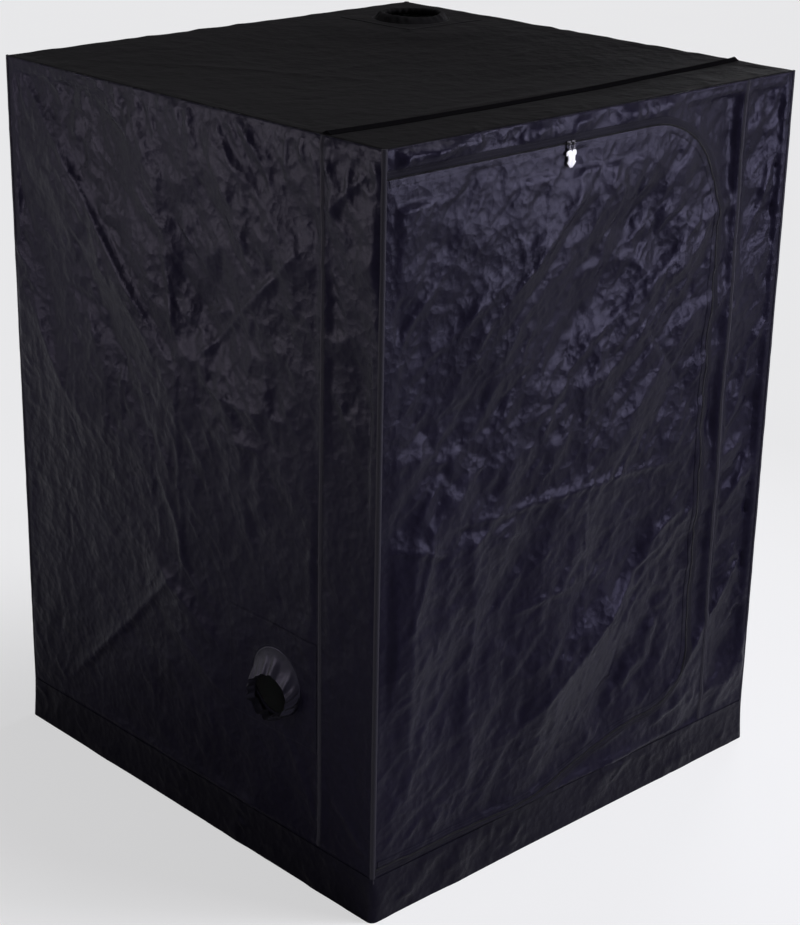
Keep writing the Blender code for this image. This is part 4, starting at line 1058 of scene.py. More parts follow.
def reflective_lining(name):
    """Silver film with a small embossed diamond pattern, on the inside of the cloth."""
    finish = Finish(name, metallic=0.92)
    flat = finish.laid_flat()
    x, y, _ = finish.parts(flat)
    turn = math.tau / DIAMOND_PITCH
    one = finish.maths("ABSOLUTE", finish.maths("SINE", (x + y) * turn))
    two = finish.maths("ABSOLUTE", finish.maths("SINE", (x - y) * turn))
    mottled = finish.noise(14.0, 4.0, 0.6)
    colour = finish.mixed(mottled, (0.60, 0.61, 0.62), (0.82, 0.83, 0.84))
    roughness = finish.limited(mottled * 0.20 + 0.27)
    normal = finish.bump(finish.noise(22.0, 2.0, 0.5), LINING_BUMP, 0.6)
    normal = finish.bump(one * two, THREAD_BUMP, 0.35, normal)
    return finish.feed(base_color=colour, roughness=roughness, normal=normal)


def woven_tape(name, dark, pale, pitch=TAPE_PITCH, shine=0.10):
    """Matt polyester tape with fine cross ribs."""
    finish = Finish(name, specular_ior_level=shine, specular_tint=(0.82, 0.78, 1.0, 1))
    flat = finish.laid_flat()
    x, y, _ = finish.parts(flat)
    ribs = finish.maths("SINE", x * (math.tau / pitch)) * 0.5 + 0.5
    slanted = (x + finish.maths("ABSOLUTE", y) * 1.5) * (math.tau / (3 * pitch))
    chevrons = finish.maths("SINE", slanted) * 0.5 + 0.5
    mottled = finish.noise(60.0, 4.0, 0.6)
    colour = finish.mixed(finish.limited(mottled * 0.7 + ribs * 0.3), dark, pale)
    roughness = finish.limited(mottled * 0.15 + 0.66)
    normal = finish.bump(ribs, RIB_BUMP, 0.6)
    normal = finish.bump(chevrons, GRAIN_BUMP, 0.4, normal)
    return finish.feed(base_color=colour, roughness=roughness, normal=normal)


def sewing_thread(name, dark, pale):
    finish = Finish(name, specular_ior_level=0.3)
    mottled = finish.noise(900.0, 2.0)
    twist = finish.noise(2500.0, 1.0)
    colour = finish.mixed(mottled, dark, pale)
    roughness = finish.limited(mottled * 0.2 + 0.5)
    return finish.feed(base_color=colour, roughness=roughness, normal=finish.bump(twist, FINE_BUMP, 0.5))


def nylon(name, dark, pale):
    """Moulded nylon of the zip's coil."""
    finish = Finish(name, specular_ior_level=0.4)
    mottled = finish.noise(300.0, 3.0)
    colour = finish.mixed(mottled, dark, pale)
    roughness = finish.limited(mottled * 0.2 + 0.34)
    return finish.feed(base_color=colour, roughness=roughness, normal=finish.bump(mottled, FINE_BUMP, 0.3))


def plated_metal(name):
    """Dark plated die cast with light wear marks strewn over it."""
    finish = Finish(name, metallic=0.95)
    grain = finish.noise(700.0, 4.0, 0.6)
    scratches = finish.noise(180.0, 3.0, 0.5, distortion=1.5)
    colour = finish.mixed(finish.limited(scratches * 1.4 - 0.4), (0.035, 0.033, 0.040), (0.13, 0.125, 0.135))
    roughness = finish.limited(grain * 0.25 + 0.34)
    return finish.feed(base_color=colour, roughness=roughness, normal=finish.bump(grain, FINE_BUMP, 0.35))


def white_plastic(name):
    """White moulded plastic, a little grubby where fingers hold it."""
    finish = Finish(name, specular_ior_level=0.5)
    place = finish.place()
    grime = finish.noise(120.0, 4.0, 0.65, place)
    grain = finish.noise(900.0, 2.0, 0.5, place)
    colour = finish.mixed(finish.limited(grime * 1.2 - 0.30), (0.93, 0.92, 0.95), (0.80, 0.79, 0.84))
    roughness = finish.limited(grime * 0.2 + 0.30)
    return finish.feed(base_color=colour, roughness=roughness, normal=finish.bump(grain, SMOOTH_BUMP, 0.4))


def powder_coat(name):
    """White powder coat on steel tube, with its orange peel and a few scuffs."""
    finish = Finish(name, specular_ior_level=0.5, coat_roughness=0.25)
    place = finish.place()
    peel = finish.noise(420.0, 2.0, 0.5, place)
    scuffs = finish.noise(24.0, 6.0, 0.7, place, 1.2)
    marks = finish.limited((scuffs - 0.60) * 6.0)
    colour = finish.mixed(marks, (0.78, 0.79, 0.80), (0.62, 0.62, 0.62))
    roughness = finish.limited(scuffs * 0.2 + 0.26)
    return finish.feed(base_color=colour, roughness=roughness, normal=finish.bump(peel, GRAIN_BUMP, 0.35))


def moulded_plastic(name):
    """Black moulded plastic with a fine spark-eroded grain."""
    finish = Finish(name, specular_ior_level=0.4)
    place = finish.place()
    grain = finish.cells(700.0, place)
    flow = finish.noise(18.0, 4.0, 0.6, place, 1.0)
    colour = finish.mixed(flow, (0.020, 0.020, 0.021), (0.036, 0.036, 0.038))
    roughness = finish.limited(flow * 0.2 + 0.38)
    return finish.feed(base_color=colour, roughness=roughness, normal=finish.bump(grain, GRAIN_BUMP, 0.4))


COVER = coated_cloth(
    "cover_cloth_black", (0.0038, 0.0032, 0.0076), (0.0090, 0.0076, 0.0176),
    rough=0.30, crinkle=0.0040, shine=0.08,
)
# The roof's own copy of the cover cloth. It is matt and a lighter grey than the walls, which paints in the
# dull sheen the roof shows in the light.
ROOF_CLOTH_PAINTED_SHEEN = coated_cloth(
    "roof_cloth_black", (0.0088, 0.0084, 0.0093), (0.0148, 0.0144, 0.0158),
    rough=0.66, crinkle=0.0034, shine=0.005,
)
BASE_CLOTH = coated_cloth(
    "base_cloth_black", (0.0036, 0.0032, 0.0060), (0.0084, 0.0074, 0.0140),
    rough=0.30, crinkle=0.0036, shine=0.08,
)
# The wall port's sleeve gets a lighter, shinier copy of the cover cloth. This is painted light on a sleeve
# that hangs in the shade.
CUFF_CLOTH_PAINTED_LIGHT = coated_cloth(
    "port_cuff_cloth_black", (0.0070, 0.0066, 0.0090), (0.0160, 0.0150, 0.0200),
    rough=0.34, crinkle=0.0020, shine=0.24,
)
LINING = reflective_lining("silver_lining")
TAPE = woven_tape("zip_tape_black", (0.0040, 0.0036, 0.0066), (0.0086, 0.0078, 0.0135))
# A darker tape on the roof seam. This is painted shade, standing for the shadow in the groove beside the
# seam.
SHADED_ROOF_SEAM_TAPE = woven_tape("roof_seam_tape", (0.0030, 0.0028, 0.0034), (0.0060, 0.0057, 0.0068), shine=0.0)
# A binding tape in a grey much lighter than the cloth. This is a painted highlight along the rounded corners
# and the raised seams.
HIGHLIT_BINDING = woven_tape("binding_tape_black", (0.021, 0.020, 0.026), (0.036, 0.034, 0.044), pitch=BINDING_PITCH)
THREAD = sewing_thread("thread_black", (0.016, 0.0155, 0.020), (0.034, 0.033, 0.042))
COIL = nylon("zip_coil_black", (0.014, 0.0135, 0.017), (0.030, 0.029, 0.036))
PLATED = plated_metal("slider_plating")
PULL_WHITE = white_plastic("pull_plastic_white")
FRAME_PAINT = powder_coat("frame_powder_coat")
CORNER_PLASTIC = moulded_plastic("corner_plastic_black")


def add_object(name, mesh, materials):
    for material in materials:
        mesh.materials.append(material)
    piece = bpy.data.objects.new(name, mesh)
    bpy.context.scene.collection.objects.link(piece)
    return piece


def mesh_of(name, points, faces, kinds=None, flat=None, wear=None, sharp=60):
    """A smooth mesh with, where they are given, its materials' numbers, a flat map and its ridge marks, which
    are painted lighter as wear and as highlight.
    """
    mesh = bpy.data.meshes.new(name)
    mesh.from_pydata(np.asarray(points).tolist(), [], faces)
    if kinds is not None:
        mesh.polygons.foreach_set("material_index", np.asarray(kinds, np.int32))
    if flat is not None:
        layer = mesh.uv_layers.new(name="cloth")
        corners = np.zeros(len(mesh.loops), np.int32)
        mesh.loops.foreach_get("vertex_index", corners)
        layer.data.foreach_set("uv", np.asarray(flat, np.float32)[corners].ravel())
    if wear is not None:
        layer = mesh.attributes.new("wear", "FLOAT", "POINT")
        layer.data.foreach_set("value", np.asarray(wear, np.float32))
    mesh.shade_smooth()
    mesh.set_sharp_from_angle(angle=math.radians(sharp))
    return mesh


def faces_outward(place):
    """Whether a loop that turns left on a face is seen from outside."""
    spot, along, up, out = place(*np.array([(0, 0, 0), (CLOTH, 0, 0), (0, CLOTH, 0), (0, 0, CLOTH)]).T)
    return np.dot(np.cross(along - spot, up - spot), out - spot) > 0


def cut_cloth(outline, holes, step, guides, seed):
    """Points and triangles that fill an outline with holes."""
    random = np.random.default_rng(seed)
    loops = [resampled(outline, step, closed=True), *holes]
    points = []
    edges = []
    for loop in [*loops, *[resampled(guide, step, closed=True) for guide in guides]]:
        first = len(points)
        points += [Vector(pair) for pair in loop.tolist()]
        edges += [(first + index, first + (index + 1) % len(loop)) for index in range(len(loop))]
    low = outline.min(0)
    high = outline.max(0)
    columns = max(1, round((high[0] - low[0]) / step))
    rows = max(1, round((high[1] - low[1]) / step))
    x, y = np.meshgrid(
        low[0] + (np.arange(columns) + 0.5) * (high[0] - low[0]) / columns,
        low[1] + (np.arange(rows) + 0.5) * (high[1] - low[1]) / rows,
    )
    x = (x + random.uniform(-1, 1, x.shape) * step * STEP_JITTER_SHARE).ravel()
    y = (y + random.uniform(-1, 1, y.shape) * step * STEP_JITTER_SHARE).ravel()
    inner = guides[-1] if len(guides) else loops[0]
    keep = inside(inner, x, y)
    for hole in holes:
        keep &= ~inside(hole, x, y)
    for loop in [inner, *holes]:
        distance, _, _ = nearest_on_line(np.vstack([loop, loop[:1]]), x, y)
        keep &= distance > step / 2
    points += [Vector(pair) for pair in np.stack([x[keep], y[keep]], 1).tolist()]
    flat, _, triangles, *_ = delaunay_2d_cdt(points, edges, [], 0, CLEARANCE / 10)
    flat = np.array([tuple(point) for point in flat])
    triangles = np.array(triangles)
    middle = flat[triangles].mean(1)
    kept = inside(loops[0], middle[:, 0], middle[:, 1])
    for hole in holes:
        kept &= ~inside(hole, middle[:, 0], middle[:, 1])
    triangles = triangles[kept]
    used, triangles = np.unique(triangles, return_inverse=True)
    return flat[used], triangles.reshape(-1, 3)


def layered(name, flat, triangles, place, relief, thickness, lift):
    """Two skins of cloth, with an edge all round."""
    out = relief.at(flat[:, 0], flat[:, 1]) + lift
    outer = round_off(place(flat[:, 0], flat[:, 1], out))
    inner = round_off(place(flat[:, 0], flat[:, 1], out - thickness))
    count = len(flat)
    sides = np.concatenate([triangles[:, [0, 1]], triangles[:, [1, 2]], triangles[:, [2, 0]]])
    keys = sides[:, 0] * count + sides[:, 1]
    back = sides[:, 1] * count + sides[:, 0]
    rim = sides[~np.isin(keys, back)]
    skirt = np.stack([rim[:, 1], rim[:, 0], rim[:, 0] + count, rim[:, 1] + count], 1)
    lower = triangles[:, ::-1] + count
    faces = triangles.tolist() + skirt.tolist() + lower.tolist()
    if not faces_outward(place):
        faces = [face[::-1] for face in faces]
    kinds = [0] * (len(triangles) + len(skirt)) + [1] * len(lower)
    # The ridge marks, painted lighter in the cloth's colour: worn coating and painted highlight.
    wear = relief.read(relief.wear, flat[:, 0], flat[:, 1])
    points = np.vstack([outer, inner])
    return mesh_of(name, points, faces, kinds, np.vstack([flat, flat]), np.concatenate([wear, wear]))


def edge_guides(outline):
    """Loops close inside an outline, so that its rolled edge has enough points."""
    low = outline.min(0)
    high = outline.max(0)
    guides = []
    for share in EDGE_GUIDE_SHARES:
        margin = EDGE_ROUND * share
        guides.append(rectangle(low[0] + margin, low[1] + margin, high[0] - margin, high[1] - margin))
    return guides


def cloth_piece(
    name, node, place, outline, relief, outside, inside_material=LINING,
    step=FINE_STEP, holes=(), guides=None, thickness=CLOTH, lift=0.0,
):
    """A panel of the cover that stands for its node."""
    guides = edge_guides(outline) if guides is None else guides
    flat, triangles = cut_cloth(outline, holes, step, guides, len(name))
    mesh = layered(name, flat, triangles, place, relief, thickness, lift)
    piece = add_object(name, mesh, [outside, inside_material])
    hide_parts(node)
    return piece


def on_shell(piece, slot):
    """Lets a piece stay with the shell. Its slot is not used."""
    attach(piece, "shell")


def on_door(piece, slot):
    """For cloth that the door carries, sewn to the shell at the door's left edge: works out that hinge line,
    which nothing uses, and bakes the piece's place into its mesh. Its slot is not used.
    """
    start = on_front(*np.array([ZIP_LEFT, 0.0, 0.0])).tolist()
    end = on_front(*np.array([ZIP_LEFT + HINGE_BEND, 0.0, 0.0])).tolist()
    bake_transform(piece)


def make_left_wall(relief):
    port = circle((PORT_ALONG, PORT_UP), PORT_RADIUS, PORT_SIDES)
    outline = rectangle(LEFT_SEAM, WALL_FOOT, DEPTH, HEIGHT)
    wall = cloth_piece("left_wall_cloth", "left_wall", on_left, outline, relief, COVER, holes=[port])
    outline = rectangle(0, WALL_FOOT, LEFT_SEAM, HEIGHT)
    strip = cloth_piece("left_front_strip_cloth", "left_wall_front_strip", on_left, outline, relief, COVER)
    on_shell(wall, "cover_cloth")
    on_shell(strip, "cover_cloth")


def make_front(relief):
    outline = rectangle(0, WALL_FOOT, FRONT_SEAM, HEIGHT)
    holes = [zip_line_moved(ZIP_HALF_GAP)[::-1]]
    surround = cloth_piece(
        "front_surround_cloth", "front_surround", on_front, outline, relief, COVER, holes=holes,
    )
    outline = rectangle(FRONT_SEAM, WALL_FOOT, WIDTH, HEIGHT)
    strip = cloth_piece("front_right_strip_cloth", "front_right_strip", on_front, outline, relief, COVER)
    door_outline = zip_line_moved(-ZIP_HALF_GAP)[::-1]
    door = cloth_piece("door_cloth", "door_panel", on_front, door_outline, relief, COVER, guides=())
    on_shell(surround, "cover_cloth")
    on_shell(strip, "cover_cloth")
    on_door(door, "cover_cloth")


def make_roof(relief):
    port = circle((ROOF_PORT_ALONG, ROOF_PORT_BACK), ROOF_PORT_RADIUS, PORT_SIDES)
    outline = rectangle(0, ROOF_SEAM, WIDTH, DEPTH)
    roof = cloth_piece("roof_cloth", "roof_panel", on_roof, outline, relief, ROOF_CLOTH_PAINTED_SHEEN, holes=[port])
    outline = rectangle(0, 0, WIDTH, ROOF_SEAM)
    strip = cloth_piece("roof_front_strip_cloth", "roof_front_strip", on_roof, outline, relief, ROOF_CLOTH_PAINTED_SHEEN)
    on_shell(roof, "cover_cloth")
    on_shell(strip, "cover_cloth")


def make_other_walls():
    for name, node, place, width, seed in (
        ("right_wall_cloth", "right_wall", on_right, DEPTH, 51),
        ("back_wall_cloth", "back_wall", on_back, WIDTH, 67),
    ):
        outline = rectangle(0, WALL_FOOT, width, HEIGHT)
        side = node.split("_")[0]
        relief = plain_wall_relief(side, width, seed)
        wall = cloth_piece(name, node, place, outline, relief, COVER, step=COARSE_STEP)
        on_shell(wall, "cover_cloth")
    relief = floor_relief()
    outline = rectangle(0, 0, WIDTH, DEPTH)
    floor = cloth_piece("floor_cloth", "floor_panel", on_floor, outline, relief, BASE_CLOTH, step=FLOOR_STEP)
    on_shell(floor, "base_cloth")


def band_place(place, length):
    """Places a band's points so that it leans out towards the floor and meets its neighbours."""
    def on_band(along, up, out):
        lean = (BAND_FLARE - BAND_CLOTH) * (1 - up / BAND_HEIGHT) ** 1.5
        total = out + lean
        return place(along + (2 * along / length - 1) * total, up, total)
    return on_band


def make_bands():
    for side, place, length, seed in (
        ("front", on_front, WIDTH, 80),
        ("back", on_back, WIDTH, 81),
        ("left", on_left, DEPTH, 82),
        ("right", on_right, DEPTH, 83),
    ):
        band = cloth_piece(
            f"base_band_{side}_cloth", f"base_band_{side}", band_place(place, length),
            rectangle(0, 0, length, BAND_HEIGHT), band_relief(length, seed), BASE_CLOTH, BASE_CLOTH,
            guides=(), thickness=BAND_CLOTH, lift=BAND_CLOTH + CLEARANCE,
        )
        on_shell(band, "base_cloth")


def strip_mesh(name, line, profile, place, relief):
    """A narrow strip along a line on a face. The profile gives each row's offset and lift."""
    line = np.asarray(line, float)
    rows = []
    for offset, lift in profile:
        row = shifted(line, offset)
        rows.append((row, relief.at(row[:, 0], row[:, 1]) + lift))
    under = [(row, relief.at(row[:, 0], row[:, 1]) - STRIP_FOOT) for row, _ in rows]
    loop = rows + under[::-1]
    points = np.stack([round_off(place(row[:, 0], row[:, 1], out)) for row, out in loop], 1)
    length, round_count = points.shape[:2]
    walked = np.concatenate([[0], np.cumsum(np.linalg.norm(np.diff(line, axis=0), axis=1))])
    across = [offset for offset, _ in profile]
    across += across[::-1]
    flat = np.stack(np.meshgrid(walked, across, indexing="ij"), -1).reshape(-1, 2)
    faces = []
    for index in range(length - 1):
        for turn in range(round_count):
            after = (turn + 1) % round_count
            start = index * round_count
            ahead = start + round_count
            faces.append((start + turn, ahead + turn, ahead + after, start + after))
    faces.append(tuple(range(round_count)))
    faces.append(tuple(range((length - 1) * round_count, length * round_count))[::-1])
    if not faces_outward(place):
        faces = [face[::-1] for face in faces]
    return mesh_of(name, points.reshape(-1, 3), faces, flat=flat, sharp=50)


def flat_profile(low, high, lift, rows=5):
    """A tape's section: flat, with its two edges turned down."""
    offsets = np.linspace(low, high, rows)
    share = np.abs(2 * (offsets - low) / (high - low) - 1)
    return [(offset, lift * (1 - 0.55 * part ** 6)) for offset, part in zip(offsets, share)]


def ridge_profile(half, lift, rows=9):
    """A felled seam's section: two flat flanks and a raised middle."""
    offsets = np.linspace(-half, half, rows)
    return [(offset, lift * (0.16 + 0.84 * math.cos(math.pi / 2 * offset / half) ** 2)) for offset in offsets]


def thread_tree(name, kind):
    """A tree that lays small pieces end to end along lines, each turned to lie on the cloth."""
    tree = bpy.data.node_groups.new(name, "GeometryNodeTree")
    tree.interface.new_socket("Lines", in_out="INPUT", socket_type="NodeSocketGeometry")
    for label in ("Spacing", "Length", "Width", "Height"):
        tree.interface.new_socket(label, in_out="INPUT", socket_type="NodeSocketFloat")
    tree.interface.new_socket("Material", in_out="INPUT", socket_type="NodeSocketMaterial")
    tree.interface.new_socket("Pieces", in_out="OUTPUT", socket_type="NodeSocketGeometry")

    def add(kind_of_node, links, **settings):
        node = tree.nodes.new(kind_of_node)
        for key, value in settings.items():
            setattr(node, key, value)
        for key, value in links.items():
            if isinstance(value, bpy.types.NodeSocket):
                tree.links.new(value, node.inputs[key])
            else:
                node.inputs[key].default_value = value
        return node.outputs

    given = tree.nodes.new("NodeGroupInput").outputs
    curves = add("GeometryNodeMeshToCurve", {"Mesh": given["Lines"]})[0]
    evened = add("GeometryNodeResampleCurve", {"Curve": curves, "Length": given["Spacing"]}, mode="LENGTH")[0]
    wanted = {"Name": "outward"}
    outward = add("GeometryNodeInputNamedAttribute", wanted, data_type="FLOAT_VECTOR")["Attribute"]
    tangent = add("GeometryNodeInputTangent", {})[0]
    upright = add("FunctionNodeAlignRotationToVector", {"Vector": outward}, axis="Z")[0]
    aim = {"Rotation": upright, "Vector": tangent}
    turned = add("FunctionNodeAlignRotationToVector", aim, axis="X", pivot_axis="Z")[0]
    if kind == "bar":
        unit = add("GeometryNodeMeshCylinder", {"Vertices": 7, "Radius": 0.5, "Depth": 1.0})["Mesh"]
        unit = add("GeometryNodeTransform", {"Geometry": unit, "Rotation": (math.pi / 2, 0, 0)})[0]
    else:
        unit = add("GeometryNodeMeshIcoSphere", {"Radius": 0.5, "Subdivisions": 1})[0]
    size = add("ShaderNodeCombineXYZ", {"X": given["Length"], "Y": given["Width"], "Z": given["Height"]})[0]
    laid = {"Points": evened, "Instance": unit, "Rotation": turned, "Scale": size}
    placed = add("GeometryNodeInstanceOnPoints", laid)[0]
    real = add("GeometryNodeRealizeInstances", {"Geometry": placed})[0]
    smooth = add("GeometryNodeSetShadeSmooth", {"Geometry": real, "Shade Smooth": True})[0]
    painted = add("GeometryNodeSetMaterial", {"Geometry": smooth, "Material": given["Material"]})[0]
    tree.links.new(painted, tree.nodes.new("NodeGroupOutput").inputs[0])
    return tree


BARS = thread_tree("coil_teeth", "bar")
CAPSULES = thread_tree("stitches", "capsule")


class Rows:
    """Lines on the cloth for stitches or teeth, collected for one piece."""

    def __init__(self):
        self.points = []
        self.edges = []
        self.outward = []

    def add(self, place, relief, line, lift):
        along, up = np.asarray(line, float).T
        flat = np.zeros(len(line))
        first = len(self.points)
        self.points += round_off(place(along, up, relief.at(along, up) + lift)).tolist()
        self.edges += [(first + index, first + index + 1) for index in range(len(line) - 1)]
        self.outward += (place(along, up, flat + 1) - place(along, up, flat)).tolist()

    def laid(self, name, tree, spacing, size, material):
        """The finished mesh: a small piece at every step along the lines."""
        mesh = bpy.data.meshes.new(name + "_lines")
        mesh.from_pydata(self.points, self.edges, [])
        layer = mesh.attributes.new("outward", "FLOAT_VECTOR", "POINT")
        layer.data.foreach_set("vector", np.asarray(self.outward, np.float32).ravel())
        guide = bpy.data.objects.new(name + "_lines", mesh)
        bpy.context.scene.collection.objects.link(guide)
        modifier = guide.modifiers.new("rows", "NODES")
        modifier.node_group = tree
        values = dict(zip(("Length", "Width", "Height"), size), Spacing=spacing, Material=material)
        for item in tree.interface.items_tree:
            if item.in_out == "INPUT" and item.name in values:
                modifier[item.identifier] = values[item.name]
        depsgraph = bpy.context.evaluated_depsgraph_get()
        made = bpy.data.meshes.new_from_object(guide.evaluated_get(depsgraph))
        bpy.data.objects.remove(guide)
        made.name = name
        piece = bpy.data.objects.new(name, made)
        bpy.context.scene.collection.objects.link(piece)
        return piece


def straight(start, end, step=SEWING_STEP):
    return resampled([start, end], step)


def make_zip(relief):
    """Two tapes and their coil teeth."""
    inner = ZIP_HALF_GAP
    line = zip_line()
    profile = flat_profile(inner, TAPE_WIDTH + inner, TAPE_LIFT)
    surround = strip_mesh("zip_tape_outer", line, profile, on_front, relief)
    surround = add_object("zip_tape_outer", surround, [TAPE])
    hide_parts("zip_tape_surround")
    on_shell(surround, "tape_weave")
    profile = flat_profile(-TAPE_WIDTH - inner, -inner, TAPE_LIFT)
    door = strip_mesh("zip_tape_inner", line[1:-1], profile, on_front, relief)
    door = add_object("zip_tape_inner", door, [COVER])
    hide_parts("zip_tape_door")
    on_door(door, "tape_weave")
    for name, side, start, carried in (
        ("zip_teeth_outer", 1, 0.0, on_shell),
        ("zip_teeth_inner", -1, TOOTH_SPACING / 2, on_door),
    ):
        rows = Rows()
        path = shifted(line, side * TOOTH_OFFSET)
        path[0, 0] += start + HINGE_GAP
        rows.add(on_front, relief, path, TAPE_LIFT)
        teeth = rows.laid(name, BARS, TOOTH_SPACING, TOOTH_SIZE, COIL)
        carried(teeth, "tape_weave")


def make_seams(front, left, roof):
    """Felled seams: one down the left wall, one down the front and one across the roof. The upright seams'
    tape is painted light, as a highlight on their ridges, and the roof seam's tape is painted dark, as shade
    in its groove.
    """
    foot = BAND_HEIGHT + SEAM_HALF
    top = HEIGHT - CLEARANCE
    upright = ridge_profile(SEAM_HALF, SEAM_RISE)
    level = ridge_profile(ROOF_SEAM_HALF, ROOF_SEAM_RISE)
    end = WIDTH - EDGE_ROUND
    for name, place, relief, first, last, profile, tape in (
        ("left_wall_seam", on_left, left, (LEFT_SEAM, foot), (LEFT_SEAM, top), upright, HIGHLIT_BINDING),
        ("front_seam", on_front, front, (FRONT_SEAM, foot), (FRONT_SEAM, top), upright, HIGHLIT_BINDING),
        ("roof_seam", on_roof, roof, (EDGE_ROUND, ROOF_SEAM), (end, ROOF_SEAM), level, SHADED_ROOF_SEAM_TAPE),
    ):
        mesh = strip_mesh(name, straight(first, last, SEAM_STEP), profile, place, relief)
        on_shell(add_object(name, mesh, [tape]), "tape_weave")


def binding_section():
    """Places round a corner, over one leg, the bend and the other leg.

    Each has its depth in x and in y, and whether it is on the bend.
    """
    legs = np.linspace(0, BINDING_LEG - EDGE_ROUND, 3)
    radius = EDGE_ROUND + BINDING_LIFT
    lifts = BINDING_LIFT * (1 - 0.5 * legs / legs[-1])
    section = []
    for leg, lift in zip(legs[::-1], lifts[::-1]):
        section.append((-EDGE_ROUND - leg, lift, 0, BINDING_LEG_DEPTH, 0))
    for turn in np.radians(np.linspace(0, 90, 9))[1:-1]:
        x = -EDGE_ROUND + radius * math.sin(turn)
        y = -EDGE_ROUND + radius * math.cos(turn)
        section.append((x, y, BINDING_BEND_DEPTH, BINDING_BEND_DEPTH, 1))
    for leg, lift in zip(legs, lifts):
        section.append((lift, -EDGE_ROUND - leg, BINDING_LEG_DEPTH, 0, 0))
    return section


def tube_faces(levels, count):
    """Faces between rings of points that follow each other."""
    faces = []
    for start in range(0, (levels - 1) * count, count):
        for turn in range(count):
            after = (turn + 1) % count
            faces.append((start + turn, start + after, start + count + after, start + count + turn))
    return faces


def make_corner_bindings():
    """A rounded tape folded over each upright corner, slightly puckered by its stitches. Its light grey
    paints in the highlight on the corner.
    """
    random = np.random.default_rng(5)
    heights = np.append(np.arange(0, HEIGHT, BINDING_STEP), HEIGHT)
    section = binding_section()
    count = 2 * len(section)
    across = [*range(len(section)), *reversed(range(len(section)))]
    for corner, x_side, y_side in (
        ("front_left", -1, -1),
        ("front_right", 1, -1),
        ("back_left", -1, 1),
        ("back_right", 1, 1),
    ):
        pucker = np.interp(heights, heights[::3], random.uniform(0, BINDING_PUCKER, len(heights[::3])))
        points = []
        for height, swell in zip(heights, pucker):
            for x, y, _, _, on_bend in section:
                push = swell * on_bend / math.sqrt(2)
                points.append((HALF_WIDTH + x + push, HALF_DEPTH + y + push, height))
            for x, y, x_depth, y_depth, _ in section[::-1]:
                points.append((HALF_WIDTH + x - x_depth, HALF_DEPTH + y - y_depth, height))
        points = np.array(points) * (x_side, y_side, 1)
        faces = tube_faces(len(heights), count)
        faces.append(tuple(range(count))[::-1])
        faces.append(tuple(range((len(heights) - 1) * count, len(heights) * count)))
        if x_side * y_side > 0:
            faces = [face[::-1] for face in faces]
        flat = [(height, place * BINDING_FLAT_STEP) for height in heights for place in across]
        mesh = mesh_of(f"corner_binding_{corner}_tape", points, faces, flat=flat, sharp=50)
        piece = add_object(mesh.name, mesh, [HIGHLIT_BINDING])
        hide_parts("corner_binding_" + corner)
        on_shell(piece, "tape_weave")


def apply_modifiers(piece):
    """Puts what a piece's modifiers make into its mesh."""
    depsgraph = bpy.context.evaluated_depsgraph_get()
    made = bpy.data.meshes.new_from_object(piece.evaluated_get(depsgraph))
    made.name = piece.name
    piece.modifiers.clear()
    piece.data = made


def sleeve(name, rings, material, thickness):
    """A cloth sleeve through rings of points, given its thickness inwards, with a closed rim."""
    rings = np.asarray(rings)
    levels, count = rings.shape[:2]
    run = np.linalg.norm(np.diff(rings, axis=0), axis=2).mean(1)
    walked = np.concatenate([[0], np.cumsum(run)])
    around = np.arange(count) * np.linalg.norm(rings[0] - np.roll(rings[0], 1, 0), axis=1).mean()
    flat = np.stack(np.meshgrid(walked, around, indexing="ij"), -1)[..., ::-1].reshape(-1, 2)
    mesh = mesh_of(name, rings.reshape(-1, 3), tube_faces(levels, count), flat=flat, sharp=80)
    piece = add_object(name, mesh, [material])
    walls = bmesh.new()
    walls.from_mesh(mesh)
    bmesh.ops.recalc_face_normals(walls, faces=walls.faces)
    walls.to_mesh(mesh)
    walls.free()
    solid = piece.modifiers.new("wall", "SOLIDIFY")
    solid.thickness = thickness
    solid.offset = -1
    apply_modifiers(piece)
    return piece


def port_patch(names, place, relief, material, corners, centre, radius, step):
    """The reinforcement patch round a duct port."""
    piece, node = names
    patch = cloth_piece(
        piece, node, place, rectangle(*corners), relief, material, COVER,
        step=step, holes=[circle(centre, radius, PORT_SIDES)], guides=(), lift=PATCH_LIFT,
    )
    on_shell(patch, "cover_cloth")
    size = (corners[2] - corners[0], corners[3] - corners[1])
    size[0] * size[1] - math.pi * radius ** 2


def uneven_pleats(angle, counts, seed):
    """A wave round a sleeve, with an uneven beat from several pleat counts."""
    random = np.random.default_rng(seed)
    return sum(
        random.uniform(0.5, 1.0) * np.cos(count * angle + random.uniform(0, math.tau)) / 3
        for count in counts
    )


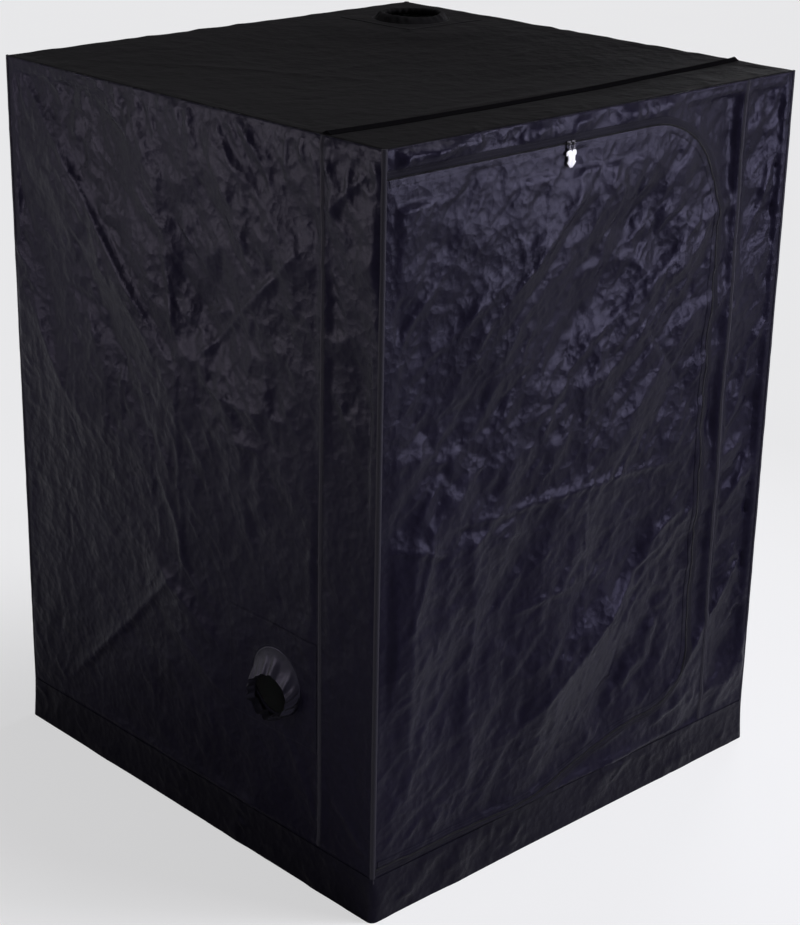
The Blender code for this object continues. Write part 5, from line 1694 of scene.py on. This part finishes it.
def make_wall_port(relief):
    """The patch round the low port, and its slack sleeve: a curtain above and a gathered lip below."""
    port_patch(
        ("wall_port_patch_cloth", "wall_port_patch"), on_left, relief, COVER, PATCH_CORNERS,
        (PORT_ALONG, PORT_UP), PORT_RADIUS, PORT_CLOTH_STEP,
    )
    angle = np.arange(180) * math.tau / 180
    beat = uneven_pleats(angle, (6, 9, 11, 15, 4), 71)
    pleats = np.sign(beat) * np.abs(beat) ** 0.8
    top = (np.sin(angle) + 1) / 2
    reach = PORT_CUFF_REACH * (1 - (1 - PORT_TOP_REACH_SHARE) * top)
    rings = []
    for share in np.linspace(0, 1, 30):
        grown = share ** 0.8
        width = PORT_RADIUS + (PORT_MOUTH_HALF_WIDTH - PORT_RADIUS) * grown
        height = PORT_RADIUS + (PORT_MOUTH_HALF_HEIGHT - PORT_RADIUS) * grown
        bulge = PORT_BULGE * math.sin(math.pi * share) * (1 - top)
        gather = PORT_GATHER * pleats * smooth_step(share * 1.4)
        along = PORT_ALONG + (width + gather + bulge) * np.cos(angle)
        up = PORT_UP - PORT_CUFF_DROP * grown ** 1.2 + (height + gather * 0.7 + bulge) * np.sin(angle)
        out = PATCH_LIFT + reach * smooth_step(share / 2) * 2 + gather * 0.5 * share
        rings.append(on_left(along, up, out))
    for share in np.linspace(0, 1, 8)[1:]:
        back = PORT_LIP * math.sin(math.pi * share) + PORT_LIP_DEPTH * share
        shrink = 1 - 0.10 * share
        along = PORT_ALONG + (PORT_MOUTH_HALF_WIDTH * shrink + gather * (1 - share)) * np.cos(angle)
        up = PORT_UP - PORT_CUFF_DROP + (PORT_MOUTH_HALF_HEIGHT * shrink + gather * 0.7) * np.sin(angle)
        rings.append(on_left(along, up, out + PORT_RIM * math.sin(math.pi * share) - back))
    cuff = sleeve("wall_port_sleeve", rings, CUFF_CLOTH_PAINTED_LIGHT, PATCH_CLOTH)
    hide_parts("wall_port_cuff")
    on_shell(cuff, "cover_cloth")


def make_roof_port(relief):
    """The patch and the low collar of the roof's port."""
    port_patch(
        ("roof_port_patch_cloth", "roof_port_patch"), on_roof, relief, ROOF_CLOTH_PAINTED_SHEEN, ROOF_PATCH_CORNERS,
        (ROOF_PORT_ALONG, ROOF_PORT_BACK), ROOF_PORT_RADIUS, ROOF_PORT_CLOTH_STEP,
    )
    angle = np.arange(180) * math.tau / 180
    beat = uneven_pleats(angle, (11, 16, 21, 26, 4), 73)
    wobble = 0.3 * np.cos(2 * angle + 0.6) + 0.2 * np.cos(3 * angle + 2.0)
    rings = []
    for share in np.linspace(0, 1, 22):
        gather = ROOF_GATHER * beat * smooth_step(share * 1.3)
        radius = ROOF_PORT_RADIUS + (ROOF_MOUTH_RADIUS - ROOF_PORT_RADIUS) * share ** 1.3 + gather
        uneven = 0.78 + 0.22 * wobble * share
        height = PATCH_LIFT + ROOF_CUFF_REACH * smooth_step(0.15 + share * 0.85) * uneven
        height = height - ROOF_CUFF_REACH * smooth_step(0.15) * uneven * (1 - share)
        rings.append(roof_ring(angle, radius, height))
    for share in np.linspace(0, 1, 7)[1:]:
        inner = radius - ROOF_LIP * math.sin(math.pi * share) - ROOF_LIP_INSET * share
        down = height + ROOF_RIM * math.sin(math.pi * share) - ROOF_LIP_DEPTH * share
        rings.append(roof_ring(angle, inner, down))
    cuff = sleeve("roof_port_sleeve", rings, ROOF_CLOTH_PAINTED_SHEEN, PATCH_CLOTH)
    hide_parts("roof_port_cuff")
    on_shell(cuff, "cover_cloth")


def roof_ring(angle, radius, height):
    """A ring of points round the roof's port."""
    return on_roof(ROOF_PORT_ALONG + radius * np.cos(angle), ROOF_PORT_BACK + radius * np.sin(angle), height)


def add_upright_row(rows, place, relief, across):
    """A row of stitches from the base band to the roof."""
    row = straight((across, BAND_HEIGHT + ROW_END), (across, HEIGHT - ROW_END))
    rows.add(place, relief, row, STITCH_LIFT)


def sew(rows, name, carried):
    """Turns rows into thread, and hands it to on_shell or on_door."""
    carried(rows.laid(name, CAPSULES, STITCH_SPACING, STITCH_SIZE, THREAD), "tape_weave")


def make_stitches(front, left, roof):
    """Rows of thread along the tapes, seams and patches."""
    line = zip_line()
    lift = TAPE_LIFT * 0.9 + STITCH_LIFT
    outer = Rows()
    for offset in (TAPE_WIDTH - STITCH_MARGIN, TAPE_WIDTH / 2 - STITCH_MARGIN / 2):
        outer.add(on_front, front, shifted(line, offset), lift)
    for side in (-1, 1):
        add_upright_row(outer, on_front, front, FRONT_SEAM + side * (SEAM_HALF + STITCH_MARGIN))
    sew(outer, "front_stitches", on_shell)
    door = Rows()
    for offset in (-TAPE_WIDTH + STITCH_MARGIN, -TAPE_WIDTH / 2 + STITCH_MARGIN / 2):
        path = shifted(line, offset)
        path[0, 0] += 3 * HINGE_GAP
        path[-1, 0] += 3 * HINGE_GAP
        door.add(on_front, front, path, lift)
    sew(door, "door_stitches", on_door)
    sides = Rows()
    for side in (-1, 1):
        add_upright_row(sides, on_left, left, LEFT_SEAM + side * (SEAM_HALF + STITCH_MARGIN))
        back = ROOF_SEAM + side * (SEAM_HALF + STITCH_MARGIN)
        sides.add(on_roof, roof, straight((ROW_END, back), (WIDTH - ROW_END, back)), STITCH_LIFT)
    for place, relief, corners, centre, radius in (
        (on_left, left, PATCH_CORNERS, (PORT_ALONG, PORT_UP), PORT_RADIUS),
        (on_roof, roof, ROOF_PATCH_CORNERS, (ROOF_PORT_ALONG, ROOF_PORT_BACK), ROOF_PORT_RADIUS),
    ):
        add_hem(sides, place, relief, rectangle(*corners))
        sides.add(place, relief, closed_circle(centre, radius + PORT_FLANGE / 2), PATCH_LIFT + STITCH_LIFT)
    sew(sides, "side_and_roof_stitches", on_shell)


def closed_circle(centre, radius):
    loop = circle(centre, radius, PORT_SIDES)
    return np.vstack([loop, loop[:1]])


def add_hem(rows, place, relief, corners):
    """A row of stitches just inside the edge of a patch."""
    middle = corners.mean(0)
    held = middle + (corners - middle) * (1 - STITCH_MARGIN * 1.5 / np.abs(corners - middle))
    rows.add(place, relief, resampled(np.vstack([held, held[:1]]), SEWING_STEP), PATCH_LIFT + STITCH_LIFT)


def refined_copy(name, node, material, body, width, above=None):
    """A hard part's own shape, merged, with its edges eased and its round sides smooth.

    With a height above, only what lies above it is kept, and it doesn't replace the part.
    """
    mesh = frame["nodes"][node].data.copy()
    mesh.name = name
    mesh.materials.clear()
    shape = bmesh.new()
    shape.from_mesh(mesh)
    bmesh.ops.remove_doubles(shape, verts=shape.verts, dist=MERGE_DISTANCE)
    bmesh.ops.dissolve_limit(shape, angle_limit=math.radians(1), verts=shape.verts, edges=shape.edges)
    if above is not None:
        everything = [*shape.verts, *shape.edges, *shape.faces]
        plane = {"plane_co": (0, 0, above), "plane_no": (0, 0, -1)}
        bmesh.ops.bisect_plane(shape, geom=everything, clear_outer=True, **plane)
        bmesh.ops.holes_fill(shape, edges=[edge for edge in shape.edges if edge.is_boundary])
    shape.to_mesh(mesh)
    shape.free()
    piece = add_object(name, mesh, [material])
    ease_edges(piece, width, 40)
    if above is None:
        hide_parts(node)
    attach(piece, body)


def ease_edges(piece, width, sharp):
    """Rounds a hard part's edges and smooths its round sides."""
    bevel = piece.modifiers.new("eased", "BEVEL")
    bevel.width = width
    bevel.segments = 2
    bevel.limit_method = "ANGLE"
    bevel.angle_limit = math.radians(sharp)
    bevel.harden_normals = False
    apply_modifiers(piece)
    piece.data.shade_smooth()
    piece.data.set_sharp_from_angle(angle=math.radians(sharp))


def joint_place(name):
    """Where a joint sits, as the record gives it."""
    joints = frame["record"]["behaviour"]["joints"]
    return next(joint["pos_m"] for joint in joints if joint["name"] == name)


def make_pull(side, outward, lobe_share):
    """A flat white pull: a curled lobe at its top, a narrow waist, a barb and a point.

    Its loop is dark metal.
    """
    node = "zip_pull_" + side
    hinge = joint_place(f"pull_{side}_lift")
    length = hinge[2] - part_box(node)[0].z
    front = []
    for across, down in PULL_OUTLINE_SHARES:
        beyond = max(across - PULL_BODY_SHARE, 0)
        across = across - beyond + beyond * (lobe_share if down < PULL_LOBE_END_SHARE else 1)
        x = hinge[0] + outward * length * across
        front.append((x, hinge[1] - PULL_PLATE / 2, hinge[2] - length * down))
    back = [(x, y + PULL_PLATE, z) for x, y, z in front]
    count = len(front)
    faces = [tuple(range(count)), tuple(range(count, 2 * count))[::-1]]
    for index in range(count):
        after = (index + 1) % count
        faces.append((index, index + count, after + count, after))
    if outward > 0:
        faces = [face[::-1] for face in faces]
    mesh = mesh_of(node + "_plate", front + back, faces)
    plate = add_object(node + "_plate", mesh, [PULL_WHITE])
    ease_edges(plate, PULL_EDGE, 30)
    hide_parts(node)
    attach(plate, "pull_" + side)
    above = hinge[2] - length * PULL_LOOP_SHARE
    refined_copy(node + "_loop", node, PLATED, "pull_" + side, TUBE_BEVEL, above)


def make_frame():
    """Steel tubes, moulded corners, roof bars with their hooks, and the zip's sliders."""
    for node in frame["nodes"]:
        if "connector" in node:
            refined_copy(node + "_moulding", node, CORNER_PLASTIC, "shell", CORNER_BEVEL)
        elif "hook" in node:
            body = "bar_front" if "front" in node else "bar_back"
            refined_copy(node + "_moulding", node, CORNER_PLASTIC, body, HOOK_BEVEL)
        elif node in ("roof_bar_front", "roof_bar_back"):
            body = node.replace("roof_", "")
            refined_copy(node + "_tube", node, FRAME_PAINT, body, TUBE_BEVEL)
        elif node.startswith("upright_") or "_rail_" in node:
            refined_copy(node + "_tube", node, FRAME_PAINT, "shell", TUBE_BEVEL)
    for side in ("left", "right"):
        node = "zip_slider_" + side
        refined_copy(node + "_casting", node, PLATED, "slider_" + side, SLIDER_BEVEL)


def add_camera():
    """The photograph's view: a fitted place, turn, lens and shift."""
    azimuth, elevation, roll = (math.radians(angle) for angle in CAMERA_ANGLES)
    flat = math.cos(elevation)
    ahead = Vector((math.sin(azimuth) * flat, math.cos(azimuth) * flat, -math.sin(elevation)))
    level = ahead.cross(Vector((0, 0, 1))).normalized()
    upright = level.cross(ahead)
    right = level * math.cos(roll) + upright * math.sin(roll)
    top = upright * math.cos(roll) - level * math.sin(roll)
    data = bpy.data.cameras.new("camera")
    camera = bpy.data.objects.new("camera", data)
    bpy.context.scene.collection.objects.link(camera)
    turn = Matrix((right, top, -ahead)).transposed().to_4x4()
    camera.matrix_world = Matrix.Translation(CAMERA_PLACE) @ turn
    data.sensor_width = SENSOR_WIDTH
    data.lens = FOCAL_PIXELS / IMAGE_HEIGHT * SENSOR_WIDTH
    data.shift_x = (IMAGE_WIDTH / 2 - MIDDLE_X) / IMAGE_HEIGHT
    data.shift_y = (MIDDLE_Y - IMAGE_HEIGHT / 2) / IMAGE_HEIGHT
    data.clip_end = VIEW_REACH
    bpy.context.scene.camera = camera


def add_lamp(name, kind, place, target, strength, size, colour):
    data = bpy.data.lights.new(name, kind)
    data.energy = strength
    data.color = colour
    if kind == "SUN":
        data.angle = math.radians(size)
    else:
        data.shape = "RECTANGLE"
        data.size, data.size_y = size
        data.spread = math.radians(LAMP_SPREAD)
    lamp = bpy.data.objects.new(name, data)
    bpy.context.scene.collection.objects.link(lamp)
    lamp.location = place
    lamp.rotation_mode = "QUATERNION"
    lamp.rotation_quaternion = (Vector(target) - Vector(place)).to_track_quat("-Z", "Y")


def add_studio():
    """A pale floor, a wide soft sun and three lamps."""
    scene = bpy.context.scene
    scene.view_settings.view_transform = "Standard"
    mesh = bpy.data.meshes.new("studio_floor")
    corners = rectangle(-FLOOR_REACH, -FLOOR_REACH, FLOOR_REACH, FLOOR_REACH)
    mesh.from_pydata([(x, y, 0) for x, y in corners.tolist()], [], [(0, 1, 2, 3)])
    finish = Finish("studio_floor_paper", specular_ior_level=0.0, emission_strength=1.0)
    grain = finish.noise(1.5, 3.0)
    seen = finish.node("ShaderNodeLightPath", output="Is Camera Ray") * FLOOR_WHITE_SHARE
    paper = finish.mixed(grain, (0.83, 0.83, 0.86), (0.85, 0.85, 0.88))
    finish.feed(
        base_color=finish.mixed(seen, paper, (0, 0, 0)),
        emission_color=finish.mixed(seen, (0, 0, 0), (0.96, 0.96, 0.97)),
        roughness=finish.limited(grain * 0.1 + 0.85),
    )
    add_object("studio_floor", mesh, [finish.material])
    scene.world = make_world()
    for lamp in LAMPS:
        add_lamp(*lamp)


def make_world():
    """Brighter to the camera, and to what mirrors or lets it through, than as a light."""
    world = bpy.data.worlds.new("studio")
    world.use_nodes = True
    nodes = world.node_tree.nodes
    links = world.node_tree.links
    path = nodes.new("ShaderNodeLightPath").outputs

    def maths(operation, *inputs):
        node = nodes.new("ShaderNodeMath")
        node.operation = operation
        for place, value in enumerate(inputs):
            if isinstance(value, bpy.types.NodeSocket):
                links.new(value, node.inputs[place])
            else:
                node.inputs[place].default_value = value
        return node.outputs[0]

    pale = maths("MAXIMUM", path["Is Camera Ray"], path["Is Glossy Ray"])
    pale = maths("MAXIMUM", pale, path["Is Transmission Ray"])
    strength = maths("MULTIPLY_ADD", pale, BACKDROP_STRENGTH - WORLD_LIGHT, WORLD_LIGHT)
    strength = maths("MULTIPLY_ADD", path["Is Camera Ray"], BACKDROP_SEEN - BACKDROP_STRENGTH, strength)
    back = nodes["Background"]
    back.inputs["Color"].default_value = (1.0, 1.0, 1.0, 1)
    links.new(strength, back.inputs["Strength"])
    return world


front = front_relief()
left = left_relief()
roof = roof_relief()
make_left_wall(left)
make_front(front)
make_roof(roof)
make_other_walls()
make_bands()
make_zip(front)
make_seams(front, left, roof)
make_corner_bindings()
make_wall_port(left)
make_roof_port(roof)
make_stitches(front, left, roof)
make_frame()
make_pull("left", -1, 1.0)
make_pull("right", 1, 0.5)
add_camera()
add_studio()
